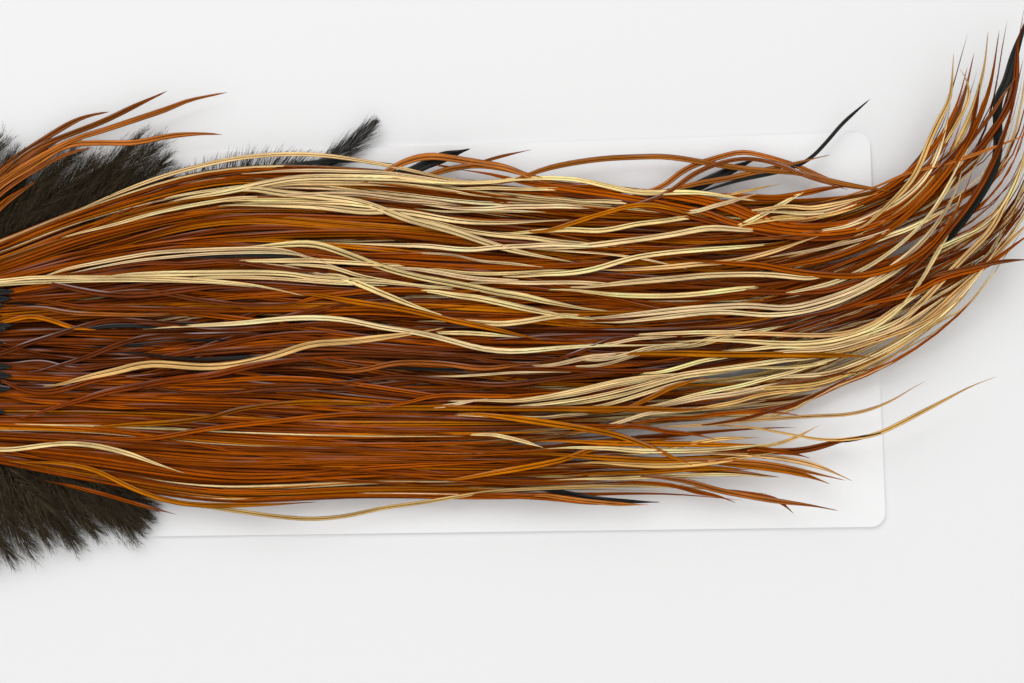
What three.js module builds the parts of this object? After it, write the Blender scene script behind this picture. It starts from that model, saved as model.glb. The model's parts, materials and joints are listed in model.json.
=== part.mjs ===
// Rooster saddle on its card: a patch of skin with rows of long narrow saddle feathers that run
// along the card, swing up into a fan at their tips, and carry dark down along both sides.
// Millimetres. Origin at the centre of the card's underside, +X towards the tips, +Z up.

import * as THREE from 'three';

// Driving dimensions

const CARD_LENGTH = 350;
const CARD_WIDTH = 108;
const CARD_THICKNESS = 0.8;
const CARD_CORNER_RADIUS = 4;
const CARD_CORNER_STEPS = 8;

const PIECE_GAP = 0.3;
const SKIN_THICKNESS = 1.5;
const SKIN_TOP = CARD_THICKNESS + PIECE_GAP + SKIN_THICKNESS;
const ROOT_HEIGHT = SKIN_TOP + 0.4;

// Rows of feathers overlap like shingles: each row grows one step further back on the skin
// and lies on the row before it.
const FIRST_ROOT_X = -84;
const ROW_STEP = 19;
const LAYER_GAP = 0.42;
const TOP_LAYER = 4;

// A lock fills this part of its share of the bundle's width. Like one feather, it has a rounded
// vane on each side of a groove, where the stem lies.
const LOCK_FILL = 0.88;
const CREST_PLACE = 0.55;
const GROOVE_RISE = 0.55;
const MIDDLE_RISE = 0.5;
const EDGE_THINNING = 0.35;

// Stations along the feathers, by number: their lines are given below at each station,
// and the bundle's underside and the depth of one layer are given here.
const FIRST_ROOT_STATION = 2;
const LAST_STATION = 12;
const UNDERSIDE = [ROOT_HEIGHT, ROOT_HEIGHT, ROOT_HEIGHT, 2.9, 2.6, 2.3, 2.3, 2.3, 2.4, 3.0, 5.0, 8.0, 12.0];
const LAYER_DEPTH = [2.5, 2.5, 2.5, 2.5, 2.3, 2.0, 1.8, 1.7, 1.6, 1.5, 1.5, 1.5, 1.5];

// Lines that the long feathers follow, from the bundle's upper side to its lower side.
// Each runs from behind the skin to the tips, with one point [x, y] a station.
const FEATHER_LINES = [
  [[-165, 19], [-125, 22], [-84, 25], [-69, 29], [-40, 40], [-5, 49.5], [35, 48.5], [75, 42],
    [115, 38], [150, 36], [177, 37.5], [190, 54], [198, 77]],
  [[-165, 13], [-125, 14.5], [-84, 17], [-69, 20], [-40, 28], [-5, 34], [35, 32.5], [75, 28],
    [115, 25], [150, 25.5], [184, 36], [203, 54], [212, 87]],
  [[-165, 7], [-125, 6.5], [-84, 7.5], [-69, 8], [-40, 9.5], [-5, 11.5], [35, 11.5], [75, 10.5],
    [115, 9.5], [150, 11], [187, 24], [211, 43], [222, 92]],
  [[-165, 0], [-125, -2], [-84, -4], [-69, -5.5], [-40, -6], [-5, -5.5], [35, -7.5], [75, -8.5],
    [115, -8.5], [150, -4], [183, 6], [210, 24], [228, 62]],
  [[-165, -7], [-125, -10], [-84, -13.5], [-69, -15], [-40, -16], [-5, -18], [35, -20], [75, -21.5],
    [115, -20], [150, -16], [178, -5.5], [200, 13], [216, 42]],
  [[-165, -13], [-125, -17], [-84, -20], [-69, -21.5], [-40, -22.5], [-5, -25], [35, -27], [75, -28],
    [115, -27], [150, -25.5], [168, -26], [188, -21], [206, -14.5]],
  [[-165, -18], [-125, -22], [-84, -25], [-69, -27], [-40, -30], [-5, -34], [35, -35], [75, -36.5],
    [115, -35.5], [145, -36], [152, -38], [158, -39.5], [165, -41.5]],
  [[-165, -23], [-125, -26.5], [-84, -29], [-69, -32], [-40, -38], [-5, -44], [35, -43.5], [75, -44.5],
    [115, -44.5], [144, -47.5], [150, -48.5], [156, -49.5], [163, -51]],
];
const LAST_LINE = FEATHER_LINES.length - 1;

// Long rows, from the lowest to the top one: how many locks, and the station their tips reach.
const LONG_ROWS = [
  { count: 10, tip: 12.0 },
  { count: 10, tip: 11.5 },
  { count: 9, tip: 10.7 },
  { count: 8, tip: 9.8 },
];
const TIP_STAGGER = 0.45;
const STAGGER_STEPS = 4;
const TAPER_STATIONS = 5.5;
const TIP_WIDTH = 0.3;

// The fan parts from the lower tips here, so a lock between the two ends early.
const PARTING = { from: 4.25, to: 4.8, tip: 9.2 };

// Short back feathers cover the roots of the top row.
const BACK_FEATHER_COUNT = 5;
const BACK_FEATHER_TIP = 1.55;
const BACK_FEATHER_STAGGER = 0.12;
const LEAF_ROOT_WIDTH = 0.45;
const LEAF_SWELL = { start: 0.15, span: 0.8 };

// Loose feathers: a route of [x, y, z] points, its full width and its depth. The width tapers
// by this part of itself towards the tip.
const LOOSE_TAPER = 0.75;
const LOOSE_FEATHERS = [
  { name: 'stray_rust_hackle_1', finish: 'rust', width: 4.5, depth: 1.0,
    route: [[-108, 22, 9.9], [-96, 27, 10.9], [-82, 36, 9.6], [-69, 47, 7.4], [-50, 58, 6.2], [-30, 64.5, 5.6],
      [-15, 68, 5.2], [-3.5, 70, 5.0]] },
  { name: 'stray_rust_hackle_2', finish: 'rust', width: 3.0, depth: 0.8,
    route: [[-96, 22, 10.8], [-82, 32, 10.6], [-69, 44, 8.8], [-60, 50, 7.9], [-50, 54, 7.6], [-38, 56, 6.8],
      [-20, 57.5, 5.6], [-4.8, 57.8, 5.0]] },
  { name: 'stray_rust_hackle_3', finish: 'rust', width: 3.0, depth: 0.8,
    route: [[50, 40, 8.8], [66, 42.5, 8.8], [83, 44.3, 8.8], [100, 47, 8.8], [118, 47.6, 8.8], [135, 45.5, 8.8],
      [150, 42.5, 9.0], [165, 39, 9.6], [180, 36.5, 10.6]] },
  { name: 'black_thin_feather', finish: 'black', width: 2.4, depth: 0.8,
    route: [[112, 31, 8.9], [128, 36.5, 8.9], [143, 40, 10.6], [152, 44, 10.6], [160, 49, 10.4], [167, 56, 10.4],
      [173, 62, 10.4]] },
  { name: 'black_plume', finish: 'black', width: 5.5, depth: 0.8,
    route: [[14, 40, 1.5], [20, 46, 1.5], [26, 51, 1.6], [33, 56, 2.2], [40, 60.5, 2.6]] },
];

// A narrow black feather that swings up through the fan, on the top layer.
const BLACK_FAN_FEATHER = { line: 2.1, share: 0.22, root: 9.2, tip: 12.0 };

// Down lies on the card beside the skin and the locks: root, tip and full width.
const DOWN_FEATHERS = [
  { name: 'down_upper_1', root: [-122, 28], tip: [-100, 55], width: 15 },
  { name: 'down_upper_2', root: [-98, 29], tip: [-70, 62], width: 15 },
  { name: 'down_upper_3', root: [-74, 31], tip: [-43, 58.5], width: 14 },
  { name: 'down_upper_4', root: [-56, 34], tip: [-19, 60], width: 12 },
  { name: 'down_lower_1', root: [-130, -31], tip: [-107, -61], width: 15 },
  { name: 'down_lower_2', root: [-106, -32], tip: [-80, -66], width: 15 },
  { name: 'down_lower_3', root: [-86, -33], tip: [-59, -64], width: 14 },
  { name: 'down_lower_4', root: [-66, -34], tip: [-38, -59.5], width: 13 },
  { name: 'down_lower_5', root: [-48, -36], tip: [-22, -53.5], width: 11 },
];
const DOWN_FLOOR = CARD_THICKNESS + PIECE_GAP;
const DOWN_EDGE = 0.3;
const DOWN_TUFTS = 7;
const DOWN_TUFT_SWEEP = 3.5;
const DOWN_NOTCH = 0.5;
const DOWN_ROOT_WIDTH = 0.3;
const DOWN_SWELL = { start: 0.1, span: 0.85 };

// The down's ridge stays low under the locks, then rises, and falls again near its tip.
const DOWN_LOW_RIDGE = 0.8;
const DOWN_HIGH_RIDGE = 2.6;
const RIDGE_RISE = { from: 0.3, to: 0.6 };
const RIDGE_FALL = 0.4;

// Finishes

const FINISHES = {
  card: new THREE.MeshStandardMaterial({ color: 0xededec, roughness: 0.75, metalness: 0 }),
  skin: new THREE.MeshStandardMaterial({ color: 0xc9a877, roughness: 0.85, metalness: 0 }),
  rust: new THREE.MeshStandardMaterial({ color: 0x8f4312, roughness: 0.5, metalness: 0 }),
  brown: new THREE.MeshStandardMaterial({ color: 0x5c250f, roughness: 0.5, metalness: 0 }),
  cream: new THREE.MeshStandardMaterial({ color: 0xd6bb85, roughness: 0.55, metalness: 0 }),
  black: new THREE.MeshStandardMaterial({ color: 0x1f2424, roughness: 0.45, metalness: 0 }),
  down: new THREE.MeshStandardMaterial({ color: 0x39322a, roughness: 0.95, metalness: 0 }),
};
const LOCK_FINISHES = ['rust', 'cream', 'rust', 'brown', 'rust', 'cream', 'brown'];

const saddle = new THREE.Group();

// A width that swells from the root and narrows towards the tip.
function swell(fraction, { start, span }, rootWidth) {
  const wave = Math.sin(Math.PI * Math.min(1, start + fraction * span));
  return rootWidth + (1 - rootWidth) * wave;
}

function addPiece(name, geometry, finish) {
  const piece = new THREE.Mesh(geometry, FINISHES[finish]);
  piece.name = name;
  saddle.add(piece);
}

// A closed solid from rings of equal size, the first one capped and the last one drawn to a point.
function pointedSolid(rings, tip) {
  const size = rings[0].length;
  const corners = [...rings.flat(), tip];
  const tipIndex = corners.length - 1;
  const faces = [];
  for (let i = 1; i < size - 1; i += 1) {
    faces.push(0, i + 1, i);
  }
  rings.forEach((ring, r) => {
    const here = r * size;
    const isLast = r === rings.length - 1;
    for (let i = 0; i < size; i += 1) {
      const next = (i + 1) % size;
      if (isLast) {
        faces.push(here + i, here + next, tipIndex);
      } else {
        faces.push(here + i, here + next, here + size + next);
        faces.push(here + i, here + size + next, here + size + i);
      }
    }
  });
  const geometry = new THREE.BufferGeometry();
  const places = corners.flatMap((corner) => corner.toArray());
  geometry.setAttribute('position', new THREE.Float32BufferAttribute(places, 3));
  geometry.setIndex(faces);
  geometry.computeVertexNormals();
  return geometry;
}

// Card and skin

function roundedCard() {
  const halfLength = CARD_LENGTH / 2;
  const halfWidth = CARD_WIDTH / 2;
  const r = CARD_CORNER_RADIUS;
  const outline = new THREE.Shape();
  outline.moveTo(-halfLength + r, -halfWidth);
  outline.absarc(halfLength - r, -halfWidth + r, r, -Math.PI / 2, 0, false);
  outline.absarc(halfLength - r, halfWidth - r, r, 0, Math.PI / 2, false);
  outline.absarc(-halfLength + r, halfWidth - r, r, Math.PI / 2, Math.PI, false);
  outline.absarc(-halfLength + r, -halfWidth + r, r, Math.PI, Math.PI * 1.5, false);
  return new THREE.ExtrudeGeometry(outline, {
    depth: CARD_THICKNESS,
    bevelEnabled: false,
    curveSegments: CARD_CORNER_STEPS,
  });
}

function skinPatch() {
  const edge = [
    [-166, -22], [-150, -26], [-126, -29], [-100, -30.5], [-80, -29], [-74, -22], [-75, -8],
    [-73, 6], [-76, 20], [-84, 25.5], [-104, 26.5], [-128, 24], [-150, 22], [-165, 17], [-168, 2],
  ].map(([x, y]) => new THREE.Vector2(x, y));
  const outline = new THREE.Shape();
  outline.setFromPoints(edge);
  const geometry = new THREE.ExtrudeGeometry(outline, { depth: SKIN_THICKNESS, bevelEnabled: false });
  geometry.translate(0, 0, CARD_THICKNESS + PIECE_GAP);
  return geometry;
}

// Places inside the bundle

const lineCurves = FEATHER_LINES.map(
  (line) => new THREE.CatmullRomCurve3(line.map(([x, y]) => new THREE.Vector3(x, y, 0))),
);

function valueAtStation(values, station) {
  const low = Math.min(Math.floor(station), values.length - 2);
  return THREE.MathUtils.lerp(values[low], values[low + 1], station - low);
}

// The bundle is deepest in its middle and thins towards its sides.
function crown(line) {
  const fromMiddle = line / LAST_LINE * 2 - 1;
  return 1 - EDGE_THINNING * fromMiddle * fromMiddle;
}

// A point of the bundle: across it by line number, along it by station, and up it by layer,
// where the layer's own depth runs from 0 at its underside to 1 at its top.
function placeInBundle(line, station, layer, rise) {
  const across = new THREE.CatmullRomCurve3(
    lineCurves.map((curve) => curve.getPoint(station / LAST_STATION)),
  );
  const place = across.getPoint(line / LAST_LINE);
  const pitch = valueAtStation(LAYER_DEPTH, station) * crown(line);
  const rowsBehind = Math.max(0, FIRST_ROOT_X - place.x) / ROW_STEP;
  const underside = valueAtStation(UNDERSIDE, station);
  place.z = underside + pitch * (layer - rowsBehind) + rise * (pitch - LAYER_GAP);
  return place;
}

function stationOfRoot(row) {
  const rootX = FIRST_ROOT_X - row * ROW_STEP;
  const [firstLine] = FEATHER_LINES;
  for (let station = 0; station < FIRST_ROOT_STATION; station += 1) {
    const [here] = firstLine[station];
    const [there] = firstLine[station + 1];
    if (rootX <= there) {
      return station + (rootX - here) / (there - here);
    }
  }
  return FIRST_ROOT_STATION;
}

// Stations of one lock: its root, each whole station on the way, half stations in the fan,
// and its tip.
const FAN_STATION = 9;
const NEAR_TIP = 0.2;

function stationsBetween(root, tip) {
  const stations = [root];
  for (let step = 0; step <= LAST_STATION; step += step < FAN_STATION ? 1 : 0.5) {
    if (step > root + NEAR_TIP && step < tip - NEAR_TIP) {
      stations.push(step);
    }
  }
  stations.push(tip);
  return stations;
}

// A lock of feathers in the bundle: it keeps to its own share of the width and its own layer.
function bundleLock({ line, share, layer, root, tip, widthAt }) {
  const stations = stationsBetween(root, tip);
  const end = stations.pop();
  const rings = stations.map((station) => {
    const half = share / 2 * widthAt({
      fraction: (station - root) / (tip - root),
      stationsToTip: tip - station,
    });
    const crest = half * CREST_PLACE;
    const at = (offset, rise) => placeInBundle(
      THREE.MathUtils.clamp(line + offset, 0, LAST_LINE), station, layer, rise,
    );
    return [
      at(-crest, 0), at(-half, MIDDLE_RISE), at(-crest, 1), at(0, GROOVE_RISE), at(crest, 1),
      at(half, MIDDLE_RISE), at(crest, 0),
    ];
  });
  return pointedSolid(rings, placeInBundle(line, end, layer, MIDDLE_RISE));
}

function hackleWidth({ stationsToTip }) {
  const taper = Math.min(1, TIP_WIDTH + (1 - TIP_WIDTH) * stationsToTip / TAPER_STATIONS);
  return LOCK_FILL * taper;
}

function leafWidth({ fraction }) {
  return LOCK_FILL * swell(fraction, LEAF_SWELL, LEAF_ROOT_WIDTH);
}

function looseWidth({ fraction }) {
  return 1 - LOOSE_TAPER * fraction;
}

function addLongRows() {
  LONG_ROWS.forEach(({ count, tip }, row) => {
    const share = LAST_LINE / count;
    for (let i = 0; i < count; i += 1) {
      const line = (i + 0.5) * share;
      const stagger = TIP_STAGGER * ((i * 3 + row) % STAGGER_STEPS) / (STAGGER_STEPS - 1);
      const inParting = line > PARTING.from && line < PARTING.to;
      const lockTip = inParting ? Math.min(PARTING.tip, tip) : tip - stagger;
      const geometry = bundleLock({
        line, share, layer: row, root: stationOfRoot(row), tip: lockTip, widthAt: hackleWidth,
      });
      const finish = LOCK_FINISHES[(i + row * 2) % LOCK_FINISHES.length];
      addPiece(`hackle_lock_row${row + 1}_${i + 1}`, geometry, finish);
    }
  });
}

function addBackFeathers() {
  const share = LAST_LINE / BACK_FEATHER_COUNT;
  for (let i = 0; i < BACK_FEATHER_COUNT; i += 1) {
    const geometry = bundleLock({
      line: (i + 0.5) * share, share, layer: TOP_LAYER, root: stationOfRoot(TOP_LAYER),
      tip: BACK_FEATHER_TIP - BACK_FEATHER_STAGGER * (i % 2), widthAt: leafWidth,
    });
    addPiece(`back_feather_${i + 1}`, geometry, i % 2 ? 'brown' : 'rust');
  }
}

function addBlackFanFeather() {
  const geometry = bundleLock({ ...BLACK_FAN_FEATHER, layer: TOP_LAYER, widthAt: looseWidth });
  addPiece('black_fan_feather', geometry, 'black');
}

// Loose feathers

function looseFeather({ route, width, depth }) {
  const curve = new THREE.CatmullRomCurve3(route.map((point) => new THREE.Vector3(...point)));
  const steps = route.length + 1;
  const rings = [];
  for (let step = 0; step < steps; step += 1) {
    const t = step / steps;
    const place = curve.getPoint(t);
    const way = curve.getTangent(t);
    const side = new THREE.Vector3(-way.y, way.x, 0).normalize();
    const half = width / 2 * looseWidth({ fraction: t * t });
    const crest = half * CREST_PLACE;
    const thick = depth / 2;
    const at = (sideways, up) => place.clone()
      .addScaledVector(side, sideways)
      .add(new THREE.Vector3(0, 0, up));
    rings.push([
      at(crest, -thick), at(half, 0), at(crest, thick), at(-crest, thick), at(-half, 0),
      at(-crest, -thick),
    ]);
  }
  return pointedSolid(rings, curve.getPoint(1));
}

// A tuft of down: a low ridge with notched edges whose points sweep towards its tip.
function downFeather({ root, tip, width }) {
  const start = new THREE.Vector3(root[0], root[1], DOWN_FLOOR);
  const way = new THREE.Vector3(tip[0], tip[1], DOWN_FLOOR).sub(start);
  const length = way.length();
  way.normalize();
  const side = new THREE.Vector3(-way.y, way.x, 0);
  const rings = [];
  const steps = DOWN_TUFTS * 2;
  for (let step = 0; step < steps; step += 1) {
    const t = step / steps;
    const isPoint = step % 2 === 1;
    const half = width / 2 * swell(t, DOWN_SWELL, DOWN_ROOT_WIDTH) * (isPoint ? 1 : DOWN_NOTCH);
    const sweep = isPoint ? DOWN_TUFT_SWEEP : 0;
    const rise = THREE.MathUtils.smoothstep(t, RIDGE_RISE.from, RIDGE_RISE.to);
    const fall = Math.min(1, (1 - t) / RIDGE_FALL);
    const ridge = THREE.MathUtils.lerp(DOWN_LOW_RIDGE, DOWN_HIGH_RIDGE, rise * fall);
    const middle = start.clone().addScaledVector(way, t * length);
    const at = (sideways, forward, up) => middle.clone()
      .addScaledVector(side, sideways)
      .addScaledVector(way, forward)
      .add(new THREE.Vector3(0, 0, up));
    rings.push([
      at(half, sweep, DOWN_EDGE), at(0, 0, ridge), at(-half, sweep, DOWN_EDGE), at(0, 0, 0),
    ]);
  }
  const end = start.clone().addScaledVector(way, length);
  return pointedSolid(rings, end.setZ(DOWN_FLOOR + DOWN_EDGE));
}

// The saddle, from the card up

addPiece('backing_card', roundedCard(), 'card');
addPiece('skin', skinPatch(), 'skin');
addLongRows();
addBackFeathers();
addBlackFanFeather();
LOOSE_FEATHERS.forEach((feather) => addPiece(feather.name, looseFeather(feather), feather.finish));
DOWN_FEATHERS.forEach((feather) => addPiece(feather.name, downFeather(feather), 'down'));

export default saddle;
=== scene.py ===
"""Rooster saddle on its white card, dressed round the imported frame.

The frame's solids are locks of feathers. Here each lock becomes the single feathers that lie in
it, with the down, the black feathers and the loose feathers modelled one by one.
"""

import json
import logging
import math
from dataclasses import dataclass
from enum import Enum

import bmesh
import bpy
import numpy as np
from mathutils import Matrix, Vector


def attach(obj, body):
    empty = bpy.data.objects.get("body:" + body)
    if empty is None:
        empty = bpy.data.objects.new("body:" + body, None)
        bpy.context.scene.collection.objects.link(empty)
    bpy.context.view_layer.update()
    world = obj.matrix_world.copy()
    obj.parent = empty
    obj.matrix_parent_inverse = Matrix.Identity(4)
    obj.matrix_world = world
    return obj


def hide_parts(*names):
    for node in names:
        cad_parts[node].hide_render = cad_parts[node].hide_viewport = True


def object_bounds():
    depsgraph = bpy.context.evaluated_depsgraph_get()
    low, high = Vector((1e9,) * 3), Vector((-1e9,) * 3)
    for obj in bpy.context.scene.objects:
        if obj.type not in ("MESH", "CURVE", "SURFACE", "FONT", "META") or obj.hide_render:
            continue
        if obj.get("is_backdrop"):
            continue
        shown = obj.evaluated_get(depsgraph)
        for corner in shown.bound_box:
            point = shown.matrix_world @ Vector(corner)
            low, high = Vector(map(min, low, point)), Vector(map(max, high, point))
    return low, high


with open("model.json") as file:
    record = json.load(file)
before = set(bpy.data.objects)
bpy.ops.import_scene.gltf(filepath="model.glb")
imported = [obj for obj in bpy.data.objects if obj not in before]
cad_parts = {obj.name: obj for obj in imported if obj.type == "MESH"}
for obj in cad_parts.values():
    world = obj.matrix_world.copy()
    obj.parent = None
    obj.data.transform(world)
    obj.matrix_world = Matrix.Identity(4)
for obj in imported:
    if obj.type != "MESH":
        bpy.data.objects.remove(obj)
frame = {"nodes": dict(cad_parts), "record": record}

LOG = logging.getLogger("saddle")
MM = 0.001
BODY = "root"

# The bundle's build, in millimetres: the same lines, rows and layers as the frame has.
FIRST_ROOT_X = -84.0
ROW_STEP = 19.0
LAYER_GAP = 0.42
EDGE_THINNING = 0.35
TOP_LAYER = 4
UNDERSIDE = (3.0, 3.0, 3.0, 2.9, 2.6, 2.3, 2.3, 2.3, 2.4, 3.0, 5.0, 8.0, 12.0)
LAYER_DEPTH = (2.5, 2.5, 2.5, 2.5, 2.3, 2.0, 1.8, 1.7, 1.6, 1.5, 1.5, 1.5, 1.5)
FEATHER_LINES = (
    ((-165, 19), (-125, 22), (-84, 25), (-69, 29), (-40, 40), (-5, 49.5), (35, 48.5), (75, 42),
     (115, 38), (150, 36), (177, 37.5), (190, 54), (198, 77)),
    ((-165, 13), (-125, 14.5), (-84, 17), (-69, 20), (-40, 28), (-5, 34), (35, 32.5), (75, 28),
     (115, 25), (150, 25.5), (184, 36), (203, 54), (212, 87)),
    ((-165, 7), (-125, 6.5), (-84, 7.5), (-69, 8), (-40, 9.5), (-5, 11.5), (35, 11.5), (75, 10.5),
     (115, 9.5), (150, 11), (187, 24), (211, 43), (222, 92)),
    ((-165, 0), (-125, -2), (-84, -4), (-69, -5.5), (-40, -6), (-5, -5.5), (35, -7.5), (75, -8.5),
     (115, -8.5), (150, -4), (183, 6), (210, 24), (228, 62)),
    ((-165, -7), (-125, -10), (-84, -13.5), (-69, -15), (-40, -16), (-5, -18), (35, -20), (75, -21.5),
     (115, -20), (150, -16), (178, -5.5), (200, 13), (216, 42)),
    ((-165, -13), (-125, -17), (-84, -20), (-69, -21.5), (-40, -22.5), (-5, -25), (35, -27), (75, -28),
     (115, -27), (150, -25.5), (168, -26), (188, -21), (206, -14.5)),
    ((-165, -18), (-125, -22), (-84, -25), (-69, -27), (-40, -30), (-5, -34), (35, -35), (75, -36.5),
     (115, -35.5), (145, -36), (152, -38), (158, -39.5), (165, -41.5)),
    ((-165, -23), (-125, -26.5), (-84, -29), (-69, -32), (-40, -38), (-5, -44), (35, -43.5), (75, -44.5),
     (115, -44.5), (144, -47.5), (150, -48.5), (156, -49.5), (163, -51)),
)
LAST_LINE = len(FEATHER_LINES) - 1
LAST_STATION = len(UNDERSIDE) - 1


class Tone(Enum):
    """The colours that a feather of this saddle can have."""

    RUST = "rust"
    RUSSET = "russet"
    TAWNY = "tawny"
    AMBER = "amber"
    BROWN = "brown"
    PLUM = "plum"
    CREAM = "cream"
    STRAW = "straw"
    BLACK = "black"


# Each tone's lit colour, linear red, green and blue, and how strong a painted highlight its vanes get along
# one edge.
TONE_COLOURS = {
    Tone.RUST: (0.37, 0.078, 0.001, 0.06),
    Tone.RUSSET: (0.29, 0.084, 0.016, 0.2),
    Tone.TAWNY: (0.46, 0.150, 0.026, 0.1),
    Tone.AMBER: (0.50, 0.150, 0.002, 0.06),
    Tone.BROWN: (0.195, 0.040, 0.004, 0.15),
    Tone.PLUM: (0.17, 0.041, 0.010, 0.26),
    Tone.CREAM: (0.88, 0.645, 0.33, 0.05),
    Tone.STRAW: (0.72, 0.45, 0.17, 0.05),
    Tone.BLACK: (0.009, 0.011, 0.010, 0.1),
}


@dataclass(frozen=True)
class Drawn:
    """A hackle that lies apart from the rest: its tone, width and route from above, in millimetres."""

    tone: Tone
    width: float
    route: tuple
    free_tip: bool = True
    lift: float = 0.0


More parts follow.
